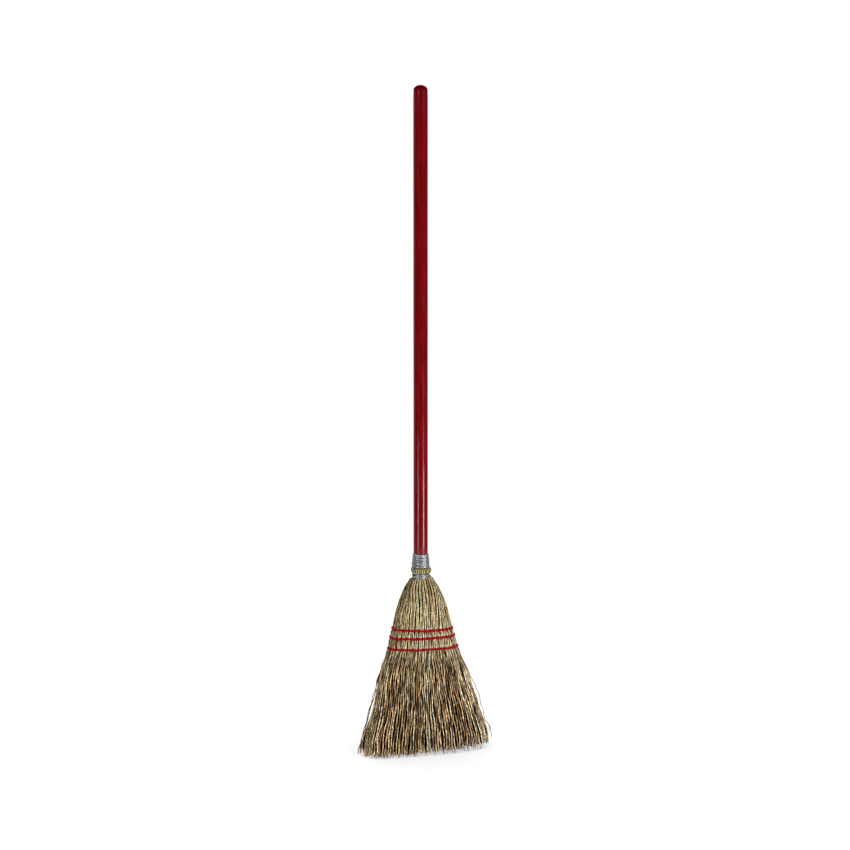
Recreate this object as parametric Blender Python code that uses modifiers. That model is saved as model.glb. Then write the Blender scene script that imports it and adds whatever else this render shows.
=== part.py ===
"""Corn broom: a lacquered stick and a flat sewn head of broomcorn, wound on with wire.

Metres, +Z up. The origin is the centre of the sweeping end, on the floor that the tips stand on.
X runs along the sweep, and the face over which the binding wire crosses looks towards -Y.
"""

import math
import random

import bmesh
import bpy
from mathutils import Matrix, Vector

# Fits between pieces
CLEARANCE = 0.0003
SECTOR_GAP = 0.0004
OVERRUN = 0.002

# Handle
BROOM_HEIGHT = 0.990
HANDLE_RADIUS = 0.0107
HANDLE_TOP_RADIUS = 0.0103
HANDLE_DOME_HEIGHT = 0.0075
HANDLE_TOP_TAPER = 0.0100
HANDLE_TAPER_START = 0.0020
HANDLE_END_ABOVE_ROW = 0.0070
HANDLE_END_ROUNDING = 0.0040
HANDLE_BUTT_SHARE = 0.93
HANDLE_NECK_SHARE = 0.885
HANDLE_END_SHARE = 0.67
HANDLE_OFFSET = 0.0085
HANDLE_SIDES = 28
DOME_STEPS = 5
SHARP_ANGLE = math.radians(40)

# Binding wire
WIRE_DIAMETER = 0.0014
WIRE_TURN_GAP = 0.00045
WINDING_TOP = 0.3015
UPPER_WHOLE_TURNS = 10
LOWER_WHOLE_TURNS = 2
CROSSING_ANGLE = math.radians(-45)
CROSSING_SPAN = math.radians(70)
CROSSING_STEPS = 12
WIRE_START_ANGLE = math.radians(165)
WIRE_END_ANGLE = math.radians(160)
WIRE_BEND_RADIUS = 0.0014
WIRE_BEND_STEPS = 3
WIRE_STUB = 0.0018
LOOP_POINTS = 24
HELD_SAMPLES = 20

# Tack that holds the wire's last turn
TACK_SHANK_RADIUS = 0.0006
TACK_HEAD_RADIUS = 0.0019
TACK_HEAD_THICKNESS = 0.0008
TACK_DEPTH = 0.0060
TACK_POINT = 0.0014
TACK_SIDES = 12

# Broomcorn at the neck, measured out from the handle's radius
BUTT_DROP = 0.0075
BUTT_TOP_THICKNESS = 0.0005
WOUND_CORN_THICKNESS = 0.0010
KNOB_THICKNESS = 0.0045
KNOB_LOW_THICKNESS = 0.0034
BAND_CORN_THICKNESS = 0.0022
KNOB_HEIGHT = 0.0096
KNOB_EDGE = 0.0012
KNOB_BELLY_SHARE = 0.76
SHOULDER_DROP = 0.0018

# Broomcorn head, shoulder to tips
SWEEP_HALF_WIDTH = 0.1010
SWEEP_HALF_DEPTH = 0.0340
CORE_WIDTH_SHARE = 0.64
CORE_DEPTH_SHARE = 0.58
SHOULDER_ANGLE = math.radians(35)
# Height, then growth from neck to tips of the width and of the depth, then lean away from the handle
HEAD_OUTLINE_SHARES = (
    (1.000, 0.065, 0.229, 0.00),
    (0.987, 0.094, 0.303, 0.01),
    (0.952, 0.159, 0.478, 0.05),
    (0.918, 0.206, 0.577, 0.15),
    (0.866, 0.263, 0.662, 0.25),
    (0.814, 0.307, 0.701, 0.28),
    (0.758, 0.346, 0.711, 0.29),
    (0.674, 0.413, 0.640, 0.33),
    (0.610, 0.458, 0.575, 0.38),
    (0.568, 0.504, 0.565, 0.39),
    (0.519, 0.557, 0.592, 0.37),
    (0.379, 0.690, 0.701, 0.52),
    (0.239, 0.814, 0.841, 0.87),
    (0.098, 0.959, 0.950, 0.99),
    (0.000, 1.000, 1.000, 1.00),
)
# Height, then the shoulder bunches' share of their full angle
SHOULDER_ANGLE_SHARES = ((1.000, 0.00), (0.987, 0.50), (0.952, 0.78), (0.918, 0.90), (0.866, 1.00))
SHOULDER_TIP_SHARE = 0.20

# Ribs that the main stalks make on the outside of the head, each a crest between two furrows
RIB_DEPTH = 0.0013
COVER_RIBS = 18
SHOULDER_RIBS = 4
# Height, then share of the furrows' depth
RIB_DEPTH_SHARES = ((1.000, 0.00), (0.987, 0.40), (0.952, 1.00))

# Core bunch and the turns that hold it
CORE_DROP = 0.0025
CORE_BUTT_THICKNESS = 0.0021
CORE_WINDING_HEIGHT = 0.0060
CORE_LEDGE = 0.0010
CORE_WINDING_SIDES = 24
COVER_JOG = 0.0020

# Sewn rows
TOP_ROW_HEIGHT = 0.1900
ROW_DROPS = (0.0, 0.0120, 0.0290)
ROW_PINCH = 0.0008
ROW_GROOVE = 0.0028
TWINE_RADIUS = 0.0013
STITCH_RADIUS = 0.0009
STITCHES_PER_ROW = 7
STITCH_REACH_SHARE = 0.80
STITCH_SIDES = 4
ROW_SEGMENTS = 32
LINK_RADIUS = 0.0007
LINK_PLACE_SHARES = (-0.765, -0.785)
LINK_POINTS = 5

# Strands below the lowest row
ROOT_DROP = 0.0110
MIDDLE_HEIGHT_SHARE = 0.50
MIDDLE_SHRINK_SHARE = 0.78
TIP_SHRINK_SHARE = 0.78
SHRINK_SPREAD_SHARE = 0.14
WANDER_SHARE = 0.60
TIP_UNEVENNESS = 0.0050
STRAND_SEED = 7
COVER_COLUMNS = 12
COVER_STRANDS = (36, 2)
SHOULDER_COLUMNS = 4
SHOULDER_STRANDS = (8, 3)
CORE_STRANDS = (11, 5)

WIRE_RADIUS = WIRE_DIAMETER / 2
WIRE_PITCH = WIRE_DIAMETER + WIRE_TURN_GAP
HANDLE_X = -HANDLE_OFFSET
FULL_TURN = 2 * math.pi


def lerp(low, high, share):
    """Return the value a share of the way from low to high."""
    return low + (high - low) * share


def look_up(rows, height):
    """Interpolate rows of (height, value, ...) that run downwards, and return the values."""
    if height >= rows[0][0]:
        return rows[0][1:]
    for upper, lower in zip(rows, rows[1:]):
        if height >= lower[0]:
            share = (upper[0] - height) / (upper[0] - lower[0])
            return tuple(lerp(a, b, share) for a, b in zip(upper[1:], lower[1:]))
    return rows[-1][1:]


# Heights along the neck, stacked down from the top of the winding

def upper_turns():
    """Turns from the end of the crossing to the wire's end, which lies at its own angle."""
    start = CROSSING_ANGLE - CROSSING_SPAN / 2
    return UPPER_WHOLE_TURNS + ((start - WIRE_END_ANGLE) / FULL_TURN) % 1


def lower_turns():
    """Turns from the wire's start to the crossing."""
    end = CROSSING_ANGLE + CROSSING_SPAN / 2
    return LOWER_WHOLE_TURNS + ((WIRE_START_ANGLE - end) / FULL_TURN) % 1


UPPER_WINDING_LOW = WINDING_TOP - upper_turns() * WIRE_PITCH - WIRE_DIAMETER
BAND_TOP = UPPER_WINDING_LOW - KNOB_HEIGHT
BAND_LOW = BAND_TOP - lower_turns() * WIRE_PITCH - WIRE_DIAMETER
SHOULDER_TOP = BAND_LOW - SHOULDER_DROP
BUTT_TOP = WINDING_TOP - BUTT_DROP
CORE_TOP = SHOULDER_TOP - CORE_DROP
LOW_JOG = CORE_TOP + CLEARANCE
HIGH_JOG = LOW_JOG + COVER_JOG
CORE_SEAT_LOW = CORE_TOP - CORE_WINDING_HEIGHT - 2 * CLEARANCE
ROW_HEIGHTS = tuple(TOP_ROW_HEIGHT - drop for drop in ROW_DROPS)
ROOT_HEIGHT = ROW_HEIGHTS[-1] - ROOT_DROP
HANDLE_END = TOP_ROW_HEIGHT + HANDLE_END_ABOVE_ROW
BAND_CORN_RADIUS = HANDLE_RADIUS + BAND_CORN_THICKNESS
CORE_BUTT_RADIUS = HANDLE_RADIUS + CORE_BUTT_THICKNESS
CORE_WINDING_RADIUS = CORE_BUTT_RADIUS + CLEARANCE + WIRE_DIAMETER


# Shape of the head: sections of the packed corn at any height

def handle_profile():
    """Radii and heights of the turned handle, from the dome's top down to its hidden end."""
    dome_low = BROOM_HEIGHT - HANDLE_DOME_HEIGHT
    profile = []
    for step in range(DOME_STEPS + 1):
        angle = step / DOME_STEPS * math.pi / 2
        radius = HANDLE_TOP_RADIUS * math.sin(angle)
        profile.append((radius, dome_low + HANDLE_DOME_HEIGHT * math.cos(angle)))
    profile += [
        (HANDLE_RADIUS, dome_low - HANDLE_TOP_TAPER),
        (HANDLE_RADIUS, WINDING_TOP - HANDLE_TAPER_START),
        (HANDLE_RADIUS * HANDLE_BUTT_SHARE, BUTT_TOP),
        (HANDLE_RADIUS * HANDLE_NECK_SHARE, CORE_TOP),
        (HANDLE_RADIUS * HANDLE_END_SHARE, HANDLE_END + HANDLE_END_ROUNDING),
        (HANDLE_RADIUS * HANDLE_END_SHARE - HANDLE_END_ROUNDING / 2, HANDLE_END),
        (0.0, HANDLE_END),
    ]
    return profile


def handle_radius_at(height):
    """Radius of the handle where the corn lies against it."""
    rows = [(z, radius) for radius, z in handle_profile()[DOME_STEPS:-2]]
    return look_up(rows, height)[0]


def neck_profile():
    """Heights and radii of the corn round the neck, from its butts down to the lower turns."""
    knob_top = UPPER_WINDING_LOW - KNOB_EDGE
    knob_low = BAND_TOP + KNOB_EDGE
    belly = lerp(BAND_TOP, UPPER_WINDING_LOW, KNOB_BELLY_SHARE)
    return [
        (BUTT_TOP, HANDLE_RADIUS + BUTT_TOP_THICKNESS),
        (UPPER_WINDING_LOW, HANDLE_RADIUS + WOUND_CORN_THICKNESS),
        (knob_top, HANDLE_RADIUS + KNOB_LOW_THICKNESS),
        (belly, HANDLE_RADIUS + KNOB_THICKNESS),
        (knob_low, HANDLE_RADIUS + KNOB_LOW_THICKNESS),
        (BAND_TOP, BAND_CORN_RADIUS),
        (BAND_LOW, BAND_CORN_RADIUS),
    ]


def outline_row(height_share, width_share, depth_share, lean_share):
    """Turn one row of shares into height, centre, half width and half depth."""
    return (
        height_share * SHOULDER_TOP,
        HANDLE_X + HANDLE_OFFSET * lean_share,
        lerp(BAND_CORN_RADIUS, SWEEP_HALF_WIDTH, width_share),
        lerp(BAND_CORN_RADIUS, SWEEP_HALF_DEPTH, depth_share),
    )


def head_stations():
    """Rows of (height, centre x, half width, half depth), from the butts down to the tips."""
    rows = [(z, HANDLE_X, radius, radius) for z, radius in neck_profile()]
    outline = [outline_row(*shares) for shares in HEAD_OUTLINE_SHARES]
    rows += [row for row in outline if all(abs(row[0] - z) > ROW_GROOVE for z in ROW_HEIGHTS)]
    for row_height in ROW_HEIGHTS:
        for offset, pinch in ((ROW_GROOVE, 0), (0, ROW_PINCH), (-ROW_GROOVE, 0)):
            centre, width, depth = look_up(outline, row_height + offset)
            rows.append((row_height + offset, centre, width - pinch, depth - pinch))
    return sorted(rows, reverse=True)


STATIONS = head_stations()
SHOULDER_ANGLES = [(share * SHOULDER_TOP, part * SHOULDER_ANGLE) for share, part in SHOULDER_ANGLE_SHARES]
FURROW_DEPTHS = [(share * SHOULDER_TOP, part * RIB_DEPTH) for share, part in RIB_DEPTH_SHARES]


def outer_section(height):
    """Centre x, half width and half depth of the packed corn."""
    return look_up(STATIONS, height)


def inner_section(height):
    """Half width and half depth of the space inside the covers and shoulders."""
    if height >= HIGH_JOG:
        radius = handle_radius_at(height) + CLEARANCE
        return radius, radius
    core_radius = CORE_WINDING_RADIUS + CLEARANCE
    if height > LOW_JOG:
        radius = lerp(core_radius, handle_radius_at(HIGH_JOG) + CLEARANCE, (height - LOW_JOG) / COVER_JOG)
        return radius, radius
    centre, width, depth = outer_section(height)
    return max(core_radius, CORE_WIDTH_SHARE * width), max(core_radius, CORE_DEPTH_SHARE * depth)


def shoulder_angle_at(height):
    """Angle at which the covers end and the shoulders begin."""
    return look_up(SHOULDER_ANGLES, height)[0]


def rib_inset(across, height, ribs):
    """How far the surface lies in from the ribs' crests."""
    return look_up(FURROW_DEPTHS, height)[0] * abs(2 * (across * ribs % 1) - 1)


def layer_levels(top):
    """Heights at which the covers and shoulders change shape, from the top to the roots."""
    levels = [row[0] for row in STATIONS] + [LOW_JOG, HIGH_JOG]
    return [z for z in sorted(levels, reverse=True) if ROOT_HEIGHT + CLEARANCE < z < top - CLEARANCE]


# Scene, materials and small helpers

def collection(name):
    """Add a collection to the scene."""
    result = bpy.data.collections.new(name)
    bpy.context.scene.collection.children.link(result)
    return result


def material(name, colour, roughness, metallic=0.0):
    """Make a Principled material."""
    result = bpy.data.materials.new(name)
    result.use_nodes = True
    shader = result.node_tree.nodes["Principled BSDF"]
    shader.inputs["Base Color"].default_value = (*colour, 1.0)
    shader.inputs["Roughness"].default_value = roughness
    shader.inputs["Metallic"].default_value = metallic
    return result


def add_object(name, data, group, finish=None):
    """Add an object made from a mesh or a curve."""
    result = bpy.data.objects.new(name, data)
    group.objects.link(result)
    if finish:
        data.materials.append(finish)
    return result


def mesh_from(bm, name):
    """Write a bmesh into a new mesh, its faces pointing out."""
    bmesh.ops.recalc_face_normals(bm, faces=bm.faces)
    mesh = bpy.data.meshes.new(name)
    bm.to_mesh(mesh)
    bm.free()
    return mesh


def hide_cutter(obj):
    """Mark an object that only cuts or joins others."""
    obj.display_type = "WIRE"
    obj.hide_render = True


def combine(target, tool, operation="DIFFERENCE"):
    """Cut the target with the tool, or join the two."""
    modifier = target.modifiers.new(tool.name, "BOOLEAN")
    modifier.operation = operation
    modifier.object = tool


def shade_round(mesh):
    """Shade smooth across shallow edges."""
    mesh.shade_smooth()
    mesh.set_sharp_from_angle(angle=SHARP_ANGLE)


def turned(name, profile, sides, group, finish=None, closed=False):
    """Turn a profile of (radius, height), listed down its outer side, about the object's Z axis."""
    mesh = bpy.data.meshes.new(name)
    vertices = [(radius, 0.0, height) for radius, height in profile]
    edges = [(i, i + 1) for i in range(len(profile) - 1)]
    if closed:
        edges.append((len(profile) - 1, 0))
    mesh.from_pydata(vertices, edges, [])
    result = add_object(name, mesh, group, finish)
    screw = result.modifiers.new("turn", "SCREW")
    screw.steps = sides
    screw.render_steps = sides
    screw.use_merge_vertices = True
    screw.merge_threshold = CLEARANCE / 10
    screw.use_smooth_shade = True
    return result


def tube(name, points, radius, group, finish=None, cyclic=False, resolution=1):
    """Sweep a round section along points."""
    curve = bpy.data.curves.new(name, "CURVE")
    curve.dimensions = "3D"
    curve.bevel_depth = radius
    curve.bevel_resolution = resolution
    curve.use_fill_caps = not cyclic
    spline = curve.splines.new("POLY")
    spline.points.add(len(points) - 1)
    for spline_point, point in zip(spline.points, points):
        spline_point.co = (*point, 1.0)
    spline.use_cyclic_u = cyclic
    return add_object(name, curve, group, finish)


def as_mesh(obj, group, finish=None):
    """Replace a curve object with the mesh that it draws."""
    name = obj.name
    depsgraph = bpy.context.evaluated_depsgraph_get()
    mesh = bpy.data.meshes.new_from_object(obj.evaluated_get(depsgraph))
    bm = bmesh.new()
    bm.from_mesh(mesh)
    bmesh.ops.remove_doubles(bm, verts=bm.verts, dist=CLEARANCE / 100)
    bm.to_mesh(mesh)
    bm.free()
    matrix = obj.matrix_world.copy()
    bpy.data.objects.remove(obj)
    mesh.materials.clear()
    result = add_object(name, mesh, group, finish)
    result.matrix_world = matrix
    return result


# Bunches: blocks of (across, depth, height), strands drawn from their lower end, bent to shape

def sliced_block(low, high, columns, levels, bottom_cells):
    """Make a box in across-depth-height space, cut at the levels and columns it needs."""
    bm = bmesh.new()
    bmesh.ops.create_cube(bm, size=1.0)
    size = Vector(high) - Vector(low)
    for vertex in bm.verts:
        vertex.co = Vector([low[i] + size[i] * (vertex.co[i] + 0.5) for i in range(3)])
    for level in levels:
        slice_block(bm, 2, level)
    for column in range(1, columns):
        slice_block(bm, 0, lerp(low[0], high[0], column / columns))
    across, deep = bottom_cells
    for column in range(1, across):
        if column * columns % across:
            slice_block(bm, 0, lerp(low[0], high[0], column / across), bottom_faces(bm, low[2]))
    for layer in range(1, deep):
        slice_block(bm, 1, lerp(low[1], high[1], layer / deep), bottom_faces(bm, low[2]))
    return bm


def slice_block(bm, axis, place, faces=None):
    """Cut faces, or the whole block, with a plane square to one axis."""
    point = Vector((0, 0, 0))
    point[axis] = place
    normal = Vector((0, 0, 0))
    normal[axis] = 1
    faces = faces or bm.faces[:]
    edges = {edge for face in faces for edge in face.edges}
    vertices = {vertex for face in faces for vertex in face.verts}
    geometry = [*vertices, *edges, *faces]
    bmesh.ops.bisect_plane(bm, geom=geometry, plane_co=point, plane_no=normal, dist=CLEARANCE / 100)


def slice_ribs(bm, low, high, columns, ribs):
    """Cut the outer faces under the shoulder at each crest and furrow that no column has cut."""
    slack = CLEARANCE / 10
    for line in range(1, 2 * ribs):
        if line * columns % (2 * ribs):
            faces = [
                face for face in bm.faces
                if all(v.co.y > high[1] - slack and v.co.z < SHOULDER_TOP + slack for v in face.verts)
            ]
            slice_block(bm, 0, lerp(low[0], high[0], line / (2 * ribs)), faces)


def bottom_faces(bm, height):
    """Faces that lie at the block's lower end."""
    slack = CLEARANCE / 10
    return [face for face in bm.faces if all(abs(v.co.z - height) < slack for v in face.verts)]


def shrink_towards_point(face, shrink, wander, rng):
    """Shrink a face towards a point near its middle, so that it stays within its old outline."""
    shrink *= 1 - SHRINK_SPREAD_SHARE * rng.random()
    weights = [1 + wander * rng.uniform(-1, 1) for vertex in face.verts]
    point = sum((v.co * weight for v, weight in zip(face.verts, weights)), Vector()) / sum(weights)
    for vertex in face.verts:
        vertex.co = point.lerp(vertex.co, shrink)


def draw_strands(bm, cells, rng):
    """Draw each cell of the lower end down to a strand with a level tip."""
    middle = ROOT_HEIGHT * MIDDLE_HEIGHT_SHARE
    cells.sort(key=lambda face: tuple(face.calc_center_median()))
    middles = bmesh.ops.extrude_discrete_faces(bm, faces=cells)["faces"]
    for face in middles:
        shrink_towards_point(face, MIDDLE_SHRINK_SHARE, WANDER_SHARE, rng)
        for vertex in face.verts:
            vertex.co.z = middle
    tips = bmesh.ops.extrude_discrete_faces(bm, faces=middles)["faces"]
    for face in tips:
        shrink_towards_point(face, TIP_SHRINK_SHARE, WANDER_SHARE, rng)
        lift = TIP_UNEVENNESS * max(0.0, rng.uniform(-1, 1))
        for vertex in face.verts:
            vertex.co.z = lift
    return len(tips)


def edge_angle(angle, width, depth):
    """Angle that half the gap between two bunches takes up at an ellipse's angle."""
    return SECTOR_GAP / 2 / math.hypot(width * math.sin(angle), depth * math.cos(angle))


def sector_point(across, deep, height, start, end, ribs):
    """Map a block's point into the layer between the inner and the ribbed outer ellipse."""
    centre, outer_width, outer_depth = outer_section(height)
    inner_width, inner_depth = inner_section(height)
    inset = rib_inset(across, height, ribs)
    width = lerp(inner_width, outer_width - inset, deep)
    depth = lerp(inner_depth, outer_depth - inset, deep)
    start += edge_angle(start, width, depth)
    end -= edge_angle(end, width, depth)
    angle = lerp(start, end, across)
    return Vector((centre, 0, height)), width * math.cos(angle), depth * math.sin(angle)


def cover_point(co, facing):
    """Place a point of a cover bunch. Facing is -1 for the front and 1 for the back."""
    edge = shoulder_angle_at(co.z)
    centre, x, y = sector_point(co.x, co.y, co.z, edge, math.pi - edge, COVER_RIBS)
    return centre + Vector((x, facing * y, 0))


def shoulder_point(co, side):
    """Place a point of a shoulder bunch. Side is -1 for the left and 1 for the right."""
    edge = shoulder_angle_at(co.z)
    centre, x, y = sector_point(co.x, co.y, co.z, -edge, edge, SHOULDER_RIBS)
    return centre + Vector((side * x, y, 0))


def core_point(co):
    """Place a point of the core bunch, its square block rounded into an ellipse."""
    centre = outer_section(co.z)[0]
    width = depth = CORE_BUTT_RADIUS
    if co.z < CORE_SEAT_LOW - CLEARANCE:
        width, depth = (half - CLEARANCE for half in inner_section(co.z))
    x = co.x * math.sqrt(1 - co.y ** 2 / 2)
    y = co.y * math.sqrt(1 - co.x ** 2 / 2)
    return Vector((centre + width * x, depth * y, co.z))


def bend(bm, place, *options):
    """Move every vertex of a block to its real place."""
    for vertex in bm.verts:
        vertex.co = place(vertex.co, *options)


def bunch(name, bm, place, options, group, finish):
    """Bend a block with its strands to shape and add it as an object."""
    bend(bm, place, *options)
    bmesh.ops.triangulate(bm, faces=bm.faces)
    mesh = mesh_from(bm, name)
    shade_round(mesh)
    return add_object(name, mesh, group, finish)


def cover_bunch(name, facing, rng, group, finish):
    """The front or back layer of corn, from its butts under the wire to its tips."""
    levels = layer_levels(BUTT_TOP)
    low, high = (0, 0, ROOT_HEIGHT), (1, 1, BUTT_TOP)
    bm = sliced_block(low, high, COVER_COLUMNS, levels, COVER_STRANDS)
    slice_ribs(bm, low, high, COVER_COLUMNS, COVER_RIBS)
    strands = draw_strands(bm, bottom_faces(bm, ROOT_HEIGHT), rng)
    return bunch(name, bm, cover_point, (facing,), group, finish), strands


def shoulder_bunch(name, side, rng, group, finish):
    """The corn at one edge of the head, which comes out between the covers."""
    top = lerp(SHOULDER_TOP, SHOULDER_ANGLES[1][0], SHOULDER_TIP_SHARE)
    levels = layer_levels(top)
    low, high = (0, 0, ROOT_HEIGHT), (1, 1, top)
    bm = sliced_block(low, high, SHOULDER_COLUMNS, levels, SHOULDER_STRANDS)
    slice_ribs(bm, low, high, SHOULDER_COLUMNS, SHOULDER_RIBS)
    strands = draw_strands(bm, bottom_faces(bm, ROOT_HEIGHT), rng)
    return bunch(name, bm, shoulder_point, (side,), group, finish), strands


def core_bunch(rng, group, finish):
    """The inner corn, with three-sided strands and a neck for the hidden turns."""
    across, deep = CORE_STRANDS
    levels = [CORE_SEAT_LOW, CORE_SEAT_LOW - CORE_LEDGE] + layer_levels(CORE_SEAT_LOW - CORE_LEDGE)
    bm = sliced_block((-1, -1, ROOT_HEIGHT), (1, 1, CORE_TOP), across, levels, CORE_STRANDS)
    cells = bmesh.ops.triangulate(bm, faces=bottom_faces(bm, ROOT_HEIGHT))["faces"]
    strands = draw_strands(bm, cells, rng)
    return bunch("core_bunch", bm, core_point, (), group, finish), strands


# Binding wire

def neck_radius(height):
    """Radius of what the wire lies on: the corn, or the handle above the butts."""
    if height > BUTT_TOP:
        return HANDLE_RADIUS
    return outer_section(height)[2]


def riding_radius(height):
    """Radius at which the wire's centre clears the neck, also beside a bulge."""
    reach = WIRE_RADIUS + CLEARANCE
    best = 0.0
    for step in range(-HELD_SAMPLES, HELD_SAMPLES + 1):
        offset = reach * step / HELD_SAMPLES
        best = max(best, neck_radius(height + offset) + math.sqrt(reach ** 2 - offset ** 2))
    return best / math.cos(math.pi / LOOP_POINTS)


def polar(angle, radius, height):
    """Point round the handle's axis, its angle counted from -Y towards +X."""
    return Vector((HANDLE_X + radius * math.sin(angle), -radius * math.cos(angle), height))


def helix(start, turns, low):
    """Points of a winding that climbs as its angle falls."""
    steps = round(turns * LOOP_POINTS)
    points = []
    for step in range(steps + 1):
        share = step / steps
        height = low + turns * WIRE_PITCH * share
        points.append(polar(start - turns * FULL_TURN * share, riding_radius(height), height))
    return points


def crossing(low, high):
    """Points of the stretch that climbs over the bulging butts."""
    start = CROSSING_ANGLE + CROSSING_SPAN / 2
    points = []
    for step in range(1, CROSSING_STEPS):
        share = step / CROSSING_STEPS
        eased = share * share * (3 - 2 * share)
        height = lerp(low, high, eased)
        points.append(polar(start - CROSSING_SPAN * share, riding_radius(height), height))
    return points


def tucked_end(angle, radius, height, direction):
    """Points that turn from the winding in towards the axis, from the outside to the stub's end.

    Direction is the sense in which the angle runs on past the winding's end.
    """
    inner = radius - WIRE_BEND_RADIUS
    points = []
    for step in range(1, WIRE_BEND_STEPS + 1):
        turn = step / WIRE_BEND_STEPS * math.pi / 2
        along = direction * WIRE_BEND_RADIUS * math.sin(turn)
        out = inner + WIRE_BEND_RADIUS * math.cos(turn)
        points.append(polar(angle + along / radius, out, height))
    end_angle = angle + direction * WIRE_BEND_RADIUS / radius
    points.append(polar(end_angle, inner - WIRE_STUB, height))
    return points


def wire_points():
    """The whole wire: tucked start, lower turns, crossing, upper turns and tucked end."""
    low = BAND_LOW + WIRE_RADIUS
    band_high = BAND_TOP - WIRE_RADIUS
    upper_low = UPPER_WINDING_LOW + WIRE_RADIUS
    top = WINDING_TOP - WIRE_RADIUS
    start = CROSSING_ANGLE + CROSSING_SPAN / 2 + lower_turns() * FULL_TURN
    first = tucked_end(start, riding_radius(low), low, 1)
    last_angle = CROSSING_ANGLE - CROSSING_SPAN / 2 - upper_turns() * FULL_TURN
    last = tucked_end(last_angle, riding_radius(top), top, -1)
    lower = helix(start, lower_turns(), low)
    upper = helix(CROSSING_ANGLE - CROSSING_SPAN / 2, upper_turns(), upper_low)
    return first[::-1] + lower + crossing(band_high, upper_low) + upper + last, first, last


def stub_hole(end_points):
    """Ends of the hole that takes a tucked end, open past the surface that the wire lies on."""
    outer, inner = end_points[-2:]
    inward = (inner - outer).normalized()
    return outer - inward * OVERRUN, inner + inward * CLEARANCE


def least_gap(points, apart):
    """Smallest distance between parts of a path that lie some points apart, less its thickness."""
    best = math.inf
    for i, point in enumerate(points):
        for other in points[i + apart:]:
            best = min(best, (point - other).length)
    return best - WIRE_DIAMETER


def rod(bm, start, end, radius, sides):
    """Add a straight closed rod between two points."""
    run = end - start
    matrix = Matrix.Translation((start + end) / 2) @ run.to_track_quat("Z", "Y").to_matrix().to_4x4()
    bmesh.ops.create_cone(
        bm, cap_ends=True, segments=sides, radius1=radius, radius2=radius, depth=run.length, matrix=matrix
    )


def rods_object(name, spans, radius, sides, group):
    """One cutter or guide made of straight rods."""
    bm = bmesh.new()
    for start, end in spans:
        rod(bm, start, end, radius, sides)
    result = add_object(name, mesh_from(bm, name), group)
    hide_cutter(result)
    return result


# Sewn rows

def row_ellipse(height):
    """Centre x and the half axes of a row's twine, drawn round the corn."""
    centre, width, depth = outer_section(height)
    stand_off = TWINE_RADIUS + CLEARANCE
    stretch = 1 / math.cos(math.pi / ROW_SEGMENTS)
    return centre, (width + stand_off) * stretch, (depth + stand_off) * stretch


def row_ring(height):
    """Points of a row's twine round the head."""
    centre, width, depth = row_ellipse(height)
    angles = [(step + 0.5) / ROW_SEGMENTS * FULL_TURN for step in range(ROW_SEGMENTS)]
    return [Vector((centre + width * math.cos(a), depth * math.sin(a), height)) for a in angles]


def stitch_spans(height):
    """Ends of the stitches that pass through the head from the front twine to the back twine."""
    centre, width, depth = row_ellipse(height)
    spans = []
    for index in range(STITCHES_PER_ROW):
        share = STITCH_REACH_SHARE * (2 * index / (STITCHES_PER_ROW - 1) - 1)
        y = depth * math.sqrt(1 - share ** 2)
        x = centre + width * share
        spans.append((Vector((x, -y, height)), Vector((x, y, height))))
    return spans


def sewn_row(name, height, group, tools, finish):
    """One row: the twine round the head, joined with its stitches."""
    ring = tube(name, row_ring(height), TWINE_RADIUS, group, cyclic=True)
    ring = as_mesh(ring, group, finish)
    stitches = rods_object(name + "_stitches", stitch_spans(height), STITCH_RADIUS, STITCH_SIDES, tools)
    combine(ring, stitches, "UNION")
    return ring


def link_twine(group, finish):
    """The short stretch of twine on the front face between the two lowest rows."""
    stand_off = LINK_RADIUS + CLEARANCE
    reach = TWINE_RADIUS + stand_off
    upper = ROW_HEIGHTS[-2] - reach
    lower = ROW_HEIGHTS[-1] + reach
    points = []
    for index in range(LINK_POINTS):
        share = index / (LINK_POINTS - 1)
        height = lerp(upper, lower, share)
        centre, width, depth = outer_section(height)
        place = lerp(*LINK_PLACE_SHARES, share)
        x = centre + (width + stand_off) * place
        y = (depth + stand_off) * math.sqrt(1 - place ** 2)
        points.append(Vector((x, -y, height)))
    return tube("link_twine", points, LINK_RADIUS, group, finish)


# Assembly

def handle(group, tools, finish, wire_end):
    """The stick, with holes for the wire's end and the tack."""
    result = turned("handle", handle_profile(), HANDLE_SIDES, group, finish)
    result.location.x = HANDLE_X
    hole_radius = WIRE_RADIUS + CLEARANCE
    combine(result, rods_object("wire_end_hole", [stub_hole(wire_end)], hole_radius, TACK_SIDES, tools))
    tack_hole = (tack_seat(), tack_seat() - Vector((0, TACK_DEPTH + CLEARANCE, 0)))
    hole_radius = TACK_SHANK_RADIUS + CLEARANCE
    combine(result, rods_object("tack_hole", [tack_hole], hole_radius, TACK_SIDES, tools))
    return result


def tack_seat():
    """Point under the tack's head, which rests just clear of the wire's last turn."""
    height = WINDING_TOP + CLEARANCE + TACK_SHANK_RADIUS
    radius = riding_radius(WINDING_TOP - WIRE_RADIUS) + WIRE_RADIUS + CLEARANCE
    return polar(math.pi, radius, height)


def tack(group, finish):
    """The tack, turned about its own axis and laid along +Y with its head outwards."""
    profile = [
        (0.0, TACK_HEAD_THICKNESS),
        (TACK_HEAD_RADIUS, TACK_HEAD_THICKNESS / 2),
        (TACK_HEAD_RADIUS, 0.0),
        (TACK_SHANK_RADIUS, 0.0),
        (TACK_SHANK_RADIUS, TACK_POINT - TACK_DEPTH),
        (0.0, -TACK_DEPTH),
    ]
    result = turned("wire_end_tack", profile, TACK_SIDES, group, finish)
    result.location = tack_seat()
    result.rotation_euler.x = -math.pi / 2
    return result


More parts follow.
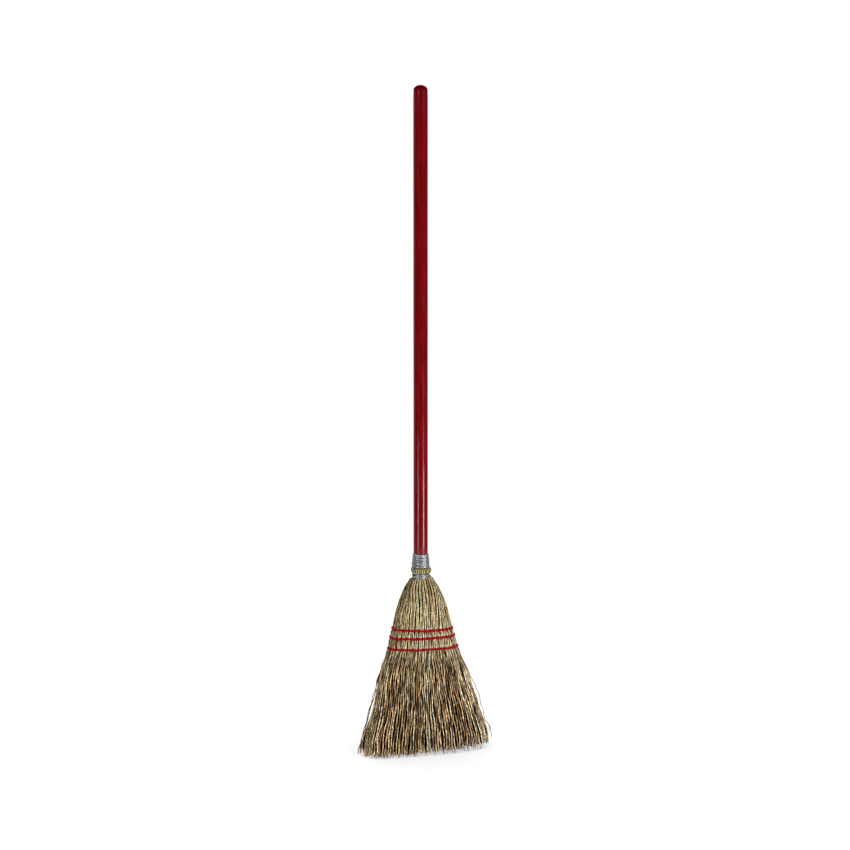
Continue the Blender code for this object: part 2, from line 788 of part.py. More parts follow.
def core_winding(group, finish):
    """Hidden turns that hold the core bunch, as one plain ring."""
    inner = CORE_BUTT_RADIUS + CLEARANCE
    top = CORE_TOP - CLEARANCE
    low = CORE_SEAT_LOW + CLEARANCE
    profile = [(CORE_WINDING_RADIUS, top), (CORE_WINDING_RADIUS, low), (inner, low), (inner, top)]
    result = turned("core_winding", profile, CORE_WINDING_SIDES, group, finish, closed=True)
    result.location.x = HANDLE_X
    return result


def socket_cutter(tools):
    """The handle's hidden end with its clearance, to cut the socket in the core bunch."""
    top = CORE_TOP + OVERRUN
    profile = [
        (0.0, top),
        (handle_radius_at(top) + CLEARANCE, top),
        (HANDLE_RADIUS * HANDLE_NECK_SHARE + CLEARANCE, CORE_TOP),
        (HANDLE_RADIUS * HANDLE_END_SHARE + CLEARANCE, HANDLE_END + HANDLE_END_ROUNDING),
        (HANDLE_RADIUS * HANDLE_END_SHARE - HANDLE_END_ROUNDING / 2 + CLEARANCE, HANDLE_END - CLEARANCE),
        (0.0, HANDLE_END - CLEARANCE),
    ]
    result = turned("handle_socket", profile, HANDLE_SIDES, tools)
    result.location.x = HANDLE_X
    hide_cutter(result)
    return result


def build():
    """Build every piece of the broom."""
    for obj in list(bpy.data.objects):
        bpy.data.objects.remove(obj)
    broom = collection("corn_broom")
    tools = collection("cutters")
    lacquer = material("red_lacquer", (0.155, 0.006, 0.012), 0.25)
    straw = material("broomcorn", (0.42, 0.34, 0.17), 0.75)
    inner_straw = material("inner_broomcorn", (0.30, 0.23, 0.11), 0.80)
    steel = material("bright_wire", (0.48, 0.48, 0.50), 0.32, 1.0)
    twine = material("red_twine", (0.46, 0.004, 0.010), 0.70)

    points, first, last = wire_points()
    tube("binding_wire", points, WIRE_RADIUS, broom, steel)
    print(f"least gap of the wire to itself: {least_gap(points, LOOP_POINTS // 2) * 1000:.3f} mm")
    handle(broom, tools, lacquer, last)
    tack(broom, steel)
    core_winding(broom, steel)

    rng = random.Random(STRAND_SEED)
    core, core_count = core_bunch(rng, broom, inner_straw)
    front, front_count = cover_bunch("front_cover_bunch", -1, rng, broom, straw)
    back, back_count = cover_bunch("back_cover_bunch", 1, rng, broom, straw)
    left, left_count = shoulder_bunch("left_shoulder_bunch", -1, rng, broom, straw)
    right, right_count = shoulder_bunch("right_shoulder_bunch", 1, rng, broom, straw)
    print(f"strands: {core_count + front_count + back_count + left_count + right_count}")

    names = ("stitch_row_top", "stitch_row_middle", "stitch_row_low")
    spans = []
    for name, height in zip(names, ROW_HEIGHTS):
        sewn_row(name, height, broom, tools, twine)
        spans += stitch_spans(height)
    link_twine(broom, twine)

    channel_radius = STITCH_RADIUS + CLEARANCE
    channels = rods_object("stitch_channels", spans, channel_radius, STITCH_SIDES, tools)
    for piece in (core, front, back, left, right):
        combine(piece, channels)
    combine(core, socket_cutter(tools))
    hole_radius = WIRE_RADIUS + CLEARANCE
    combine(back, rods_object("wire_start_hole", [stub_hole(first)], hole_radius, TACK_SIDES, tools))


build()
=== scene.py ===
"""Corn broom: the looks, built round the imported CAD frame.

Metres, +Z up. The origin is the centre of the sweeping end, on the floor that the tips stand on.
X runs along the sweep, and the face over which the binding wire crosses looks towards -Y.
A place round the head is given as a share of its girth: 0 at the right edge, 0.25 at the back,
0.5 at the left edge and 0.75 at the front.
"""

import logging
import math
from collections.abc import Sequence
from dataclasses import dataclass
from enum import Enum

import bmesh
import bpy
import numpy as np
from mathutils import Matrix, Vector


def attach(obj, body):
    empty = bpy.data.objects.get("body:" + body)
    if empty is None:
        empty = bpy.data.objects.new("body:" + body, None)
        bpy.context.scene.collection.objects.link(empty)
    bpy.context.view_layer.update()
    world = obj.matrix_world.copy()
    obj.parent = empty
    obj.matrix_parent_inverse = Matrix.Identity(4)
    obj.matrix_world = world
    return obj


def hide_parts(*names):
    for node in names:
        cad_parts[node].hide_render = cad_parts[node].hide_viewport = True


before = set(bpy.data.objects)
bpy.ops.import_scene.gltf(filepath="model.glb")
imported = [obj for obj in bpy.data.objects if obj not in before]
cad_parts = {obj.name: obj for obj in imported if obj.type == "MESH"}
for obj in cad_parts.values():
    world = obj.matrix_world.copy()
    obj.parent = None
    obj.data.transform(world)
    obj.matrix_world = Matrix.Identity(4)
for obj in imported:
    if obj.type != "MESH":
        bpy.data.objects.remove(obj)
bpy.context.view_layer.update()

log = logging.getLogger("corn_broom")

Array = np.ndarray
Arrays = tuple[Array, ...]
Span = tuple[float, float]
Point = tuple[float, float, float]
Colour = tuple[float, float, float, float]
Stops = Sequence[tuple[float, Colour]]
Display = tuple[tuple[float, tuple[int, int, int]], ...]
Tube = tuple[Sequence[Vector], float, bool]
Rng = np.random.Generator
Socket = bpy.types.NodeSocket
Material = bpy.types.Material
Mesh = bpy.types.Mesh

FULL_TURN = 2 * math.pi
WHITE: Colour = (1.0, 1.0, 1.0, 1.0)
COOL_WHITE: Point = (0.86, 0.88, 1.0)
MERGE_DISTANCE = 1e-6
LEAST_RADIUS = 0.001
FIBRE_SIDES = 3
# Keeps a place just short of a table's last sample
LAST_STEP = 1.001
# Share of the way that each next tone moves on, so that neighbours differ
GOLDEN_SHARE = 0.618034
TONE_JITTER = 0.2
DARK_TONES: Span = (0.02, 0.20)


class Slot(Enum):
    """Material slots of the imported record."""

    LACQUER = "lacquered_wood"
    CORN = "broomcorn"
    WIRE = "wire"
    TWINE = "twine"


class Place(Enum):
    """Where a bunch lies round the head, as a share of the girth."""

    RIGHT = 0.0
    BACK = 0.25
    LEFT = 0.5
    FRONT = 0.75


def srgb(red: float, green: float, blue: float) -> Colour:
    """Turn display values from 0 to 255 into a linear colour.

    Args:
        red: Display red.
        green: Display green.
        blue: Display blue.

    Returns:
        The linear colour with full alpha.
    """
    linear = []
    for value in (red, green, blue):
        share = value / 255
        linear.append(share / 12.92 if share <= 0.04045 else ((share + 0.055) / 1.055) ** 2.4)
    return (*linear, 1.0)


# Materials


class NodeBoard:
    """A node tree, with short ways to add and join nodes."""

    def __init__(self, tree: bpy.types.NodeTree) -> None:
        """Take over the node tree of a material or of the world."""
        self.tree = tree

    def add(self, kind: str, **settings: object) -> bpy.types.Node:
        """Add a node.

        Args:
            kind: The node's type.
            settings: Properties to set on it.

        Returns:
            The new node.
        """
        node = self.tree.nodes.new(kind)
        for key, value in settings.items():
            setattr(node, key, value)
        return node

    def join(self, source: Socket, target: Socket) -> None:
        """Link two sockets."""
        self.tree.links.new(source, target)

    def feed(self, target: Socket, value: object) -> None:
        """Link a socket to an input, or set a plain value on it.

        Args:
            target: The input.
            value: A socket or a plain value.
        """
        if isinstance(value, bpy.types.NodeSocket):
            self.join(value, target)
        else:
            target.default_value = value

    def coordinates(self) -> Socket:
        """Object coordinates."""
        return self.add("ShaderNodeTexCoord").outputs["Object"]

    def stretched(self, along: float = 1.0, across: float = 1.0) -> Socket:
        """Object coordinates, scaled so that a pattern runs along Z.

        Args:
            along: Scale along Z.
            across: Scale along X and Y.

        Returns:
            The vector socket.
        """
        mapping = self.add("ShaderNodeMapping")
        mapping.inputs["Scale"].default_value = (across, across, along)
        self.join(self.coordinates(), mapping.inputs["Vector"])
        return mapping.outputs["Vector"]

    def noise(
        self, vector: Socket, scale: float, detail: float = 2.0, roughness: float = 0.5,
        seed: Socket | None = None,
    ) -> Socket:
        """Add a noise texture.

        Args:
            vector: Where it is read.
            scale: Its scale.
            detail: Its octaves.
            roughness: Weight of the finer octaves.
            seed: A value for each straw, where each has a pattern of its own.

        Returns:
            The value socket.
        """
        node = self.add("ShaderNodeTexNoise")
        if seed is not None:
            node.noise_dimensions = "4D"
            self.join(seed, node.inputs["W"])
        node.inputs["Scale"].default_value = scale
        node.inputs["Detail"].default_value = detail
        node.inputs["Roughness"].default_value = roughness
        self.join(vector, node.inputs["Vector"])
        return node.outputs[0]

    def attribute(self, name: str) -> Socket:
        """Read a value stored on the mesh."""
        return self.add("ShaderNodeAttribute", attribute_name=name).outputs["Fac"]

    def height(self) -> Socket:
        """Height over the floor, in metres.

        Returns:
            The value socket.
        """
        split = self.add("ShaderNodeSeparateXYZ")
        self.join(self.coordinates(), split.inputs[0])
        return split.outputs["Z"]

    def span(
        self, value: Socket, source: Span, target: Span = (0.0, 1.0), kind: str = "SMOOTHSTEP"
    ) -> Socket:
        """Map one range of values to another.

        Args:
            value: The value to map.
            source: Its range.
            target: The range it is mapped to.
            kind: How it runs between the two ends.

        Returns:
            The mapped value.
        """
        node = self.add("ShaderNodeMapRange", interpolation_type=kind)
        self.join(value, node.inputs["Value"])
        keys = ("From Min", "From Max", "To Min", "To Max")
        for key, number in zip(keys, (*source, *target)):
            node.inputs[key].default_value = number
        return node.outputs["Result"]

    def math(self, operation: str, first: Socket, second: Socket) -> Socket:
        """Work out one value from two others.

        Args:
            operation: What is done.
            first: The first value.
            second: The second value.

        Returns:
            The value socket.
        """
        node = self.add("ShaderNodeMath", operation=operation)
        self.join(first, node.inputs[0])
        self.join(second, node.inputs[1])
        return node.outputs[0]

    def ramp(self, value: Socket, stops: Stops) -> Socket:
        """Colour a value.

        Args:
            value: The value to colour.
            stops: Places from 0 to 1, each with its colour.

        Returns:
            The colour socket.
        """
        node = self.add("ShaderNodeValToRGB")
        elements = node.color_ramp.elements
        while len(elements) < len(stops):
            elements.new(0.5)
        for element, (place, colour) in zip(elements, sorted(stops)):
            element.position = place
            element.color = colour
        self.join(value, node.inputs["Fac"])
        return node.outputs["Color"]

    def blend(
        self, share: Socket | float, first: Socket, second: Socket | Colour, kind: str = "MIX"
    ) -> Socket:
        """Mix two colours.

        Args:
            share: Share of the second one.
            first: The first colour.
            second: The second colour.
            kind: How the two are mixed.

        Returns:
            The colour socket.
        """
        node = self.add("ShaderNodeMix", data_type="RGBA", blend_type=kind)
        for index, value in ((0, share), (6, first), (7, second)):
            self.feed(node.inputs[index], value)
        return node.outputs[2]

    def tinted(
        self, colour: Socket, value: Socket, stops: Stops, share: Socket | float = 1.0
    ) -> Socket:
        """Multiply a colour by a share of the tint that a value has on a ramp."""
        return self.blend(share, colour, self.ramp(value, stops), "MULTIPLY")

    def bump(self, value: Socket, strength: float, depth: float) -> Socket:
        """Turn a value into relief.

        Args:
            value: The relief's height.
            strength: Its strength.
            depth: Depth in metres.

        Returns:
            The normal socket.
        """
        node = self.add("ShaderNodeBump")
        node.inputs["Strength"].default_value = strength
        node.inputs["Distance"].default_value = depth
        self.join(value, node.inputs["Height"])
        return node.outputs["Normal"]

    def mixed(self, share: Socket, first: Socket, second: Socket) -> Socket:
        """Mix two shaders.

        Args:
            share: Share of the second one.
            first: The first shader.
            second: The second shader.

        Returns:
            The shader socket.
        """
        node = self.add("ShaderNodeMixShader")
        for target, source in zip(node.inputs, (share, first, second)):
            self.join(source, target)
        return node.outputs[0]


class Finish(NodeBoard):
    """The node tree of a new material."""

    def __init__(self, name: str) -> None:
        """Start a material with a Principled shader.

        Args:
            name: The material's name.
        """
        self.material = bpy.data.materials.new(name)
        self.material.use_nodes = True
        super().__init__(self.material.node_tree)
        self.shader = self.tree.nodes["Principled BSDF"]

    def finish(self, **values: object) -> Material:
        """Set or link inputs of the Principled shader.

        Args:
            values: Input names with underscores for spaces, and a socket or a plain value for each.

        Returns:
            The material.
        """
        for key, value in values.items():
            self.feed(self.shader.inputs[key.replace("_", " ")], value)
        return self.material


@dataclass(frozen=True)
class LacqueredWood:
    """Wine-red gloss lacquer over turned wood, with the grain showing faintly and painted shade on
    the dome.
    """

    name: str = "red_lacquer"
    dark: Colour = srgb(78, 1, 4)
    mid: Colour = srgb(98, 2, 8)
    bright: Colour = srgb(118, 4, 13)
    brown: Colour = srgb(72, 8, 5)
    # Colour of the painted shade on the dome
    dome: Colour = srgb(34, 0, 2)
    grain_scale: float = 420.0
    blotch_scale: float = 95.0
    ripple_scale: float = 150.0
    ripple_depth: float = 0.0006
    roughness: Span = (0.13, 0.24)
    # Heights over which the dome gets painted shade, and over which its gloss fades
    dome_shade_heights: Span = (0.980, 0.987)
    matt_heights: Span = (0.972, 0.984)

    def build(self) -> Material:
        """Make the material.

        Returns:
            The material.
        """
        board = Finish(self.name)
        grain = board.noise(board.stretched(0.045), self.grain_scale, 4.0, 0.6)
        blotch = board.noise(board.stretched(0.30), self.blotch_scale, 3.0, 0.55)
        ripple = board.noise(board.stretched(0.16), self.ripple_scale)
        colour = board.ramp(grain, ((0.30, self.dark), (0.52, self.mid), (0.75, self.bright)))
        colour = board.blend(board.span(blotch, (0.58, 0.74), (0.0, 0.55)), colour, self.brown)
        # Painted shade darkens the top of the dome
        domed = board.span(board.height(), self.dome_shade_heights, (0.0, 0.75))
        return board.finish(
            Base_Color=board.blend(domed, colour, self.dome),
            Roughness=board.span(blotch, (0.3, 0.7), self.roughness, "LINEAR"),
            Specular_IOR_Level=board.span(board.height(), self.matt_heights, (0.5, 0.0)),
            Normal=board.bump(ripple, 0.22, self.ripple_depth),
            IOR=1.27,
            Coat_Weight=board.span(board.height(), self.matt_heights, (0.04, 0.0)),
            Coat_Roughness=0.09,
        )


@dataclass(frozen=True)
class Broomcorn:
    """Dried broomcorn: a tone for each straw, paler at the stalks and browner at the tips, with
    painted light and shade.
    """

    name: str = "broomcorn_straw"
    # What every colour is multiplied by; the inner corn's lower value is painted shade
    shade: float = 1.0
    # Painted highlight over the rows and on the corn between the gaps under them
    pale: Colour = srgb(214, 222, 188)
    worn: tuple[int, int, int] = (150, 116, 68)
    upper: Display = (
        (0.00, (24, 15, 6)),
        (0.14, (54, 38, 18)),
        (0.26, (118, 95, 60)),
        (0.40, (190, 164, 112)),
        (0.52, (164, 170, 128)),
        (0.64, (212, 199, 152)),
        (0.76, (192, 159, 124)),
        (0.88, (220, 210, 168)),
        (1.00, (174, 166, 124)),
    )
    lower: Display = (
        (0.00, (20, 11, 4)),
        (0.18, (34, 21, 9)),
        (0.32, (132, 101, 68)),
        (0.46, (234, 196, 146)),
        (0.58, (188, 179, 140)),
        (0.70, (255, 234, 188)),
        (0.80, (214, 168, 127)),
        (0.90, (255, 250, 220)),
        (1.00, (200, 188, 156)),
    )
    # Heights over which the upper tones give way to the lower ones, and the tips turn worn
    low_heights: Span = (0.185, 0.105)
    worn_heights: Span = (0.014, 0.001)
    # Tints of the long streaks, of each straw's own spots and of the short nicks, then painted
    # shade at its edges
    streaks: Stops = ((0.36, (0.30, 0.25, 0.19, 1)), (0.58, (1.20, 1.18, 1.12, 1)))
    spots: Stops = ((0.38, (0.38, 0.30, 0.23, 1)), (0.54, (1.08, 1.08, 1.08, 1)))
    nicks: Stops = ((0.40, (0.60, 0.54, 0.46, 1)), (0.56, (1.10, 1.10, 1.10, 1)))
    rim_shades: Stops = ((0.40, (1, 1, 1, 1)), (0.86, (0.22, 0.18, 0.13, 1)))
    streak_depth: float = 0.0002
    roughness: Span = (0.46, 0.66)
    gloss: Span = (0.20, 0.02)

    def stops(self, table: Display) -> list[tuple[float, Colour]]:
        """Turn display colours into shaded linear stops.

        Args:
            table: Places from 0 to 1, each with a display colour.

        Returns:
            The stops.
        """
        result = []
        for place, colour in table:
            red, green, blue, alpha = srgb(*colour)
            result.append((place, (red * self.shade, green * self.shade, blue * self.shade, alpha)))
        return result

    def specular(self, board: Finish, tone: Socket) -> Socket:
        """Fade the gloss at a straw's edges, where it is dark and where it lies deep.

        Args:
            board: The material's nodes.
            tone: The straws' tone.

        Returns:
            The specular level.
        """
        level = board.span(board.attribute("rim"), (0.2, 0.85), self.gloss, "LINEAR")
        for value, source in ((board.attribute("deep"), (0.5, 0.1)), (tone, (0.15, 0.32))):
            level = board.math("MULTIPLY", level, board.span(value, source, (0.1, 1.0)))
        return level

    def build(self) -> Material:
        """Make the material.

        Returns:
            The material.
        """
        board = Finish(self.name)
        tone = board.attribute("tone")
        low = board.span(board.height(), self.low_heights)
        upper, lower = (board.ramp(tone, self.stops(part)) for part in (self.upper, self.lower))
        colour = board.blend(low, upper, lower)
        seed = board.span(tone, (0.0, 1.0), (0.0, 90.0), "LINEAR")
        streak = board.noise(board.stretched(0.22), 900.0, 2.0, 0.6)
        spot = board.noise(board.stretched(0.7), 190.0, 2.0, 0.6, seed)
        nick = board.noise(board.stretched(0.42), 1100.0, 1.0)
        streaked = board.span(low, (0.0, 1.0), (0.58, 1.0))
        colour = board.tinted(colour, streak, self.streaks, streaked)
        colour = board.tinted(colour, spot, self.spots, 0.75)
        colour = board.tinted(colour, nick, self.nicks, 0.6)
        # Painted shade at each straw's edges, where it meets its neighbours
        colour = board.tinted(colour, board.attribute("rim"), self.rim_shades, 0.8)
        worn = board.span(board.height(), self.worn_heights, (0.0, 0.55))
        colour = board.blend(worn, colour, self.stops(((0.0, self.worn),))[0][1])
        # Painted highlight over the rows and between the gaps under them
        colour = board.blend(board.attribute("pale"), colour, self.pale)
        # Painted shade, blended towards the darkest tone: in notches, gaps, at the knob, on deep
        # corn and in dark stretches of the clusters; the knob is also a little darker
        colour = board.blend(board.attribute("deep"), colour, self.stops(self.lower)[0][1])
        return board.finish(
            Base_Color=colour,
            Roughness=board.span(streak, (0.3, 0.7), self.roughness, "LINEAR"),
            Normal=board.bump(streak, 0.45, self.streak_depth),
            Specular_IOR_Level=self.specular(board, tone),
        )


@dataclass(frozen=True)
class BrightWire:
    """Bright drawn steel wire with fine scratches and blotchy tone, and painted shade on some
    turns.
    """

    name: str = "bright_wire"
    dark: Colour = srgb(118, 120, 121)
    light: Colour = srgb(208, 211, 212)
    turn_painted_shade: Stops = ((0.0, (0.42, 0.42, 0.43, 1)), (1.0, (1, 1, 1, 1)))
    roughness: Span = (0.52, 0.38)
    scratch_depth: float = 0.00008

    def build(self) -> Material:
        """Make the material.

        Returns:
            The material.
        """
        board = Finish(self.name)
        clouds = board.noise(board.stretched(2.4), 170.0, 3.0, 0.6)
        scratches = board.noise(board.stretched(3.0, 0.25), 1400.0)
        colour = board.ramp(clouds, ((0.30, self.dark), (0.62, self.light)))
        return board.finish(
            # Painted shade on every other turn and on the crossing, painted highlight at the top
            # turn
            Base_Color=board.tinted(colour, board.attribute("turn"), self.turn_painted_shade),
            Metallic=1.0,
            Roughness=board.span(clouds, (0.3, 0.7), self.roughness, "LINEAR"),
            Normal=board.bump(scratches, 0.12, self.scratch_depth),
        )


@dataclass(frozen=True)
class RedTwine:
    """Bright red twine with a matt, slightly hairy surface."""

    name: str = "red_twine"
    deep: Colour = srgb(88, 0, 4)
    bright: Colour = srgb(146, 0, 8)
    roughness: Span = (0.62, 0.85)
    hair_depth: float = 0.00025

    def build(self) -> Material:
        """Make the material.

        Returns:
            The material.
        """
        board = Finish(self.name)
        hairs = board.noise(board.stretched(), 1800.0, 3.0, 0.65)
        wear = board.noise(board.stretched(), 130.0)
        colour = board.ramp(hairs, ((0.28, self.deep), (0.60, self.bright)))
        return board.finish(
            Base_Color=board.blend(board.span(wear, (0.55, 0.75), (0.0, 0.5)), colour, self.deep),
            Roughness=board.span(hairs, (0.3, 0.7), self.roughness, "LINEAR"),
            Normal=board.bump(hairs, 0.5, self.hair_depth),
            Specular_IOR_Level=0.06,
        )


# The head's shape


def eased(value: Array, start: Array | float, end: Array | float) -> Array:
    """Run smoothly from 0 at the start to 1 at the end."""
    share = np.clip((value - start) / (end - start), 0, 1)
    return share * share * (3 - 2 * share)


def bell(offset: Array, reach: float) -> Array:
    """Fall smoothly from 1 at no offset towards 0 past the reach."""
    return np.exp(-((offset / reach) ** 2))


def swing(height: Array, length: Array | float, phase: Array | float) -> Array:
    """Wave along the height, from -1 to 1."""
    return np.sin(FULL_TURN * height / length + phase)


def cell(share: Array, count: int) -> tuple[Array, Array]:
    """Find a place in a table.

    Args:
        share: How far along the table it is, from 0 to 1.
        count: Number of the table's samples.

    Returns:
        The sample before the place, and the share of the step to the next one.
    """
    place = np.clip(share * (count - 1), 0, count - LAST_STEP)
    sample = place.astype(int)
    return sample, place - sample


@dataclass(frozen=True)
class Rise:
    """A bell-shaped rise: how strong it is, where its middle is and how far it reaches."""

    strength: float
    middle: float
    reach: float

    def at(self, place: Array) -> Array:
        """Strength at a place."""
        return self.strength * bell(place - self.middle, self.reach)


@dataclass
class Neck:
    """Sizes along the neck, stacked down from the top of the winding."""

    handle_x: float = -0.0079
    handle_radius: float = 0.0107
    wire_diameter: float = 0.0014
    turn_gap: float = 0.00054
    clearance: float = -0.0001
    winding_top: float = 0.3015
    upper_whole_turns: int = 10
    lower_whole_turns: int = 2
    crossing_angle: float = math.radians(-45)
    crossing_span: float = math.radians(70)
    start_angle: float = math.radians(165)
    end_angle: float = math.radians(160)
    knob_height: float = 0.0094
    knob_edge: float = 0.0012
    butt_drop: float = 0.0075
    shoulder_drop: float = 0.0018
    # Thickness of the corn on the handle, from its upper ends down
    corn: tuple[float, ...] = (0.0005, 0.0015, 0.0037, 0.0045, 0.0042, 0.0031, 0.0011, 0.0011)
    # Middle sections of the knob, as shares of its height
    knob_shares: Span = (0.30, 0.62)

    @property
    def pitch(self) -> float:
        """Climb of one turn of the wire."""
        return self.wire_diameter + self.turn_gap

    @property
    def crossing_start(self) -> float:
        """Angle at which the wire leaves the lower turns."""
        return self.crossing_angle + self.crossing_span / 2

    @property
    def crossing_end(self) -> float:
        """Angle at which the upper turns start."""
        return self.crossing_angle - self.crossing_span / 2

    @property
    def upper_turns(self) -> float:
        """Turns from the crossing to the wire's end."""
        return self.upper_whole_turns + ((self.crossing_end - self.end_angle) / FULL_TURN) % 1

    @property
    def lower_turns(self) -> float:
        """Turns from the wire's start to the crossing."""
        return self.lower_whole_turns + ((self.start_angle - self.crossing_start) / FULL_TURN) % 1

    @property
    def upper_low(self) -> float:
        """Lower edge of the upper winding."""
        return self.winding_top - self.upper_turns * self.pitch - self.wire_diameter

    @property
    def band_top(self) -> float:
        """Upper edge of the lower turns."""
        return self.upper_low - self.knob_height

    @property
    def band_low(self) -> float:
        """Lower edge of the lower turns."""
        return self.band_top - self.lower_turns * self.pitch - self.wire_diameter

    @property
    def shoulder_top(self) -> float:
        """Height at which the head starts to widen."""
        return self.band_low - self.shoulder_drop

    @property
    def butt_top(self) -> float:
        """Upper ends of the broomcorn, under the wire."""
        return self.winding_top - self.butt_drop

    @property
    def knob_heights(self) -> tuple[float, ...]:
        """Heights of the knob's sections, from its upper edge down."""
        return (
            self.upper_low - self.knob_edge,
            *(self.upper_low - share * self.knob_height for share in self.knob_shares),
            self.band_top + self.knob_edge,
        )

    def profile(self) -> list[Span]:
        """Heights and radii of the corn from its butts down to the lower turns."""
        heights = (self.butt_top, self.upper_low, *self.knob_heights, self.band_top, self.band_low)
        return [(height, self.handle_radius + corn) for height, corn in zip(heights, self.corn)]


@dataclass
class Head:
    """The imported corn's outline at every height, and places round it."""

    neck: Neck
    half_width: float = 0.1010
    half_depth: float = 0.0340
    # Half size under the neck, from which the head grows
    shoulder_radius: float = 0.0129
    # Height as a share of the shoulder's, growth of width and of depth, and lean off the handle
    outline: tuple[tuple[float, float, float, float], ...] = (
        (1.000, 0.065, 0.229, 0.00),
        (0.987, 0.094, 0.303, 0.01),
        (0.952, 0.159, 0.478, 0.05),
        (0.918, 0.206, 0.577, 0.15),
        (0.866, 0.263, 0.662, 0.25),
        (0.814, 0.307, 0.701, 0.28),
        (0.758, 0.346, 0.711, 0.29),
        (0.674, 0.413, 0.640, 0.33),
        (0.610, 0.458, 0.575, 0.38),
        (0.568, 0.504, 0.565, 0.39),
        (0.519, 0.557, 0.592, 0.37),
        (0.379, 0.690, 0.701, 0.52),
        (0.239, 0.814, 0.841, 0.87),
        (0.098, 0.959, 0.950, 0.99),
        (0.000, 1.000, 1.000, 1.00),
    )
    rows: Point = (0.1900, 0.1780, 0.1610)
    bundles: int = 30
    row_phases: Point = (0.0, 0.35, 0.1)
    row_reach: float = 0.0026
    row_pinch: float = 0.0009
    gather: float = 0.28
    notch: float = 0.0011
    notch_reach: float = 3.2
    # Swelling between the rows, and how soon it sets in over the lowest and under the top one
    pillow: float = 0.0004
    pillow_onsets: Span = (0.004, 0.003)
    # How far each row hangs lower at both edges, what the right has over that, and in the middle
    row_droops: tuple[Point, ...] = (
        (0.0016, 0.0011, 0.0009),
        (0.0020, 0.0002, 0.0009),
        (0.0017, 0.0005, 0.0009),
    )
    # Height, then how far the corn lies inside the outline at the left and at the right edge
    edges: tuple[Point, ...] = (
        (0.000, 0.0000, 0.0004),
        (0.008, 0.0008, 0.0004),
        (0.023, 0.0013, 0.0004),
        (0.038, 0.0015, 0.0002),
        (0.052, 0.0028, -0.0002),
        (0.081, 0.0026, -0.0015),
        (0.096, 0.0020, -0.0020),
        (0.110, 0.0000, -0.0024),
        (0.120, -0.0012, -0.0026),
        (0.130, -0.0013, -0.0022),
        (0.146, 0.0000, -0.0006),
        (0.161, 0.0000, 0.0000),
        (0.190, 0.0000, 0.0008),
        (0.223, 0.0000, 0.0004),
        (0.2365, 0.0009, 0.0004),
        (0.252, 0.0024, 0.0004),
        (0.2620, 0.0030, 0.0002),
        (0.2632, 0.0020, -0.0016),
        (0.2645, 0.0010, -0.0054),
        (0.2706, 0.0010, 0.0000),
        (0.276, 0.0015, -0.0010),
        (0.280, 0.0000, -0.0004),
    )
    # Squarer left half of the sweeping end, its height, and how soon it sets in to the left
    squareness: float = 0.55
    square_height: float = 0.085
    square_onset: float = 1.4
    # Splay of its front towards -Y, its height, and how soon it sets in to the left and front
    splay: float = 0.0050
    splay_height: float = 0.055
    splay_onsets: Span = (1.3, 1.8)
    # Waves of the lower edge: strength, number and phase, what is cut off and left, and height
    tip_waves: tuple[Point, ...] = ((1.0, 23, 0.8), (0.8, 41, 2.1))
    tip_cut: Span = (0.5, 1.3)
    tip_gap: float = 0.0022
    # Groups of tips that end together, how far they differ, and how much more so at the right
    tip_groups: int = 100
    tip_spread: float = 0.0056
    tip_tilt: float = 0.28
    # Painted highlight over each row, painted shade in its notches and at both ends of the knob,
    # and a darker tone all over the knob
    row_painted_light: Rise = Rise(0.42, 0.0034, 0.0016)
    row_painted_shade: Rise = Rise(0.60, 0.0020, 0.0026)
    knob_top_shade: Rise = Rise(0.50, -0.0004, 0.0018)
    knob_low_shade: Rise = Rise(0.85, 0.0005, 0.0010)
    knob_dark: float = 0.05
    # Painted shade in gaps under the lowest row: number, borders, strength and how it varies,
    # steps under the row in which they set in and fade, and painted light on the corn between them
    gaps: int = 53
    gap_border: Span = (0.50, 0.72)
    gap_shade: Point = (0.58, 0.40, 2.4)
    gap_onset: Span = (-0.0008, -0.0030)
    gap_end: Span = (-0.0260, -0.0120)
    gap_light: float = 0.08
    # Painted shade on deep corn: depths where it sets in, how dark, and how both change to the
    # sweep
    buried_depths: Span = (0.0014, 0.0032)
    buried_dark: float = 0.40
    sweep_depths: Span = (0.0001, 0.0003)
    sweep_dark: float = 0.48
    sweep_heights: Span = (0.185, 0.13)
    # What of that painted shade is lost at the tips
    tip_light: float = 0.70
    tip_light_heights: Span = (0.026, 0.001)
    level_count: int = 120
    share_count: int = 241
    angle_count: int = 721

    def __post_init__(self) -> None:
        """Work out the sections and the table of angles round them."""
        neck, base = self.neck, self.shoulder_radius
        rows = [(height, neck.handle_x, radius, radius) for height, radius in neck.profile()]
        for height, width, depth, lean in self.outline:
            rows.append(
                (
                    height * neck.shoulder_top,
                    neck.handle_x * (1 - lean),
                    base + (self.half_width - base) * width,
                    base + (self.half_depth - base) * depth,
                )
            )
        self.stations = np.array(sorted(rows)).T
        angles = np.linspace(0, FULL_TURN, self.angle_count)
        shares = np.linspace(0, 1, self.share_count)
        self.levels = np.linspace(0, neck.butt_top, self.level_count)
        table, girths = [], []
        for level in self.levels:
            _, width, depth = self.section(level)
            steps = np.hypot(np.diff(width * np.cos(angles)), np.diff(depth * np.sin(angles)))
            run = np.concatenate(([0.0], np.cumsum(steps)))
            table.append(np.interp(shares, run / run[-1], angles))
            girths.append(run[-1])
        self.angle_table = np.array(table)
        self.girths = np.array(girths)
        self.group_lifts = np.random.default_rng(self.tip_groups).uniform(0, 1, self.tip_groups)

    def section(self, height: Array) -> Arrays:
        """Centre x, half width and half depth of the corn at each height."""
        heights, *sizes = self.stations
        return tuple(np.interp(height, heights, size) for size in sizes)

    def girth(self, height: Array) -> Array:
        """Length round the head at each height."""
        return np.interp(height, self.levels, self.girths)

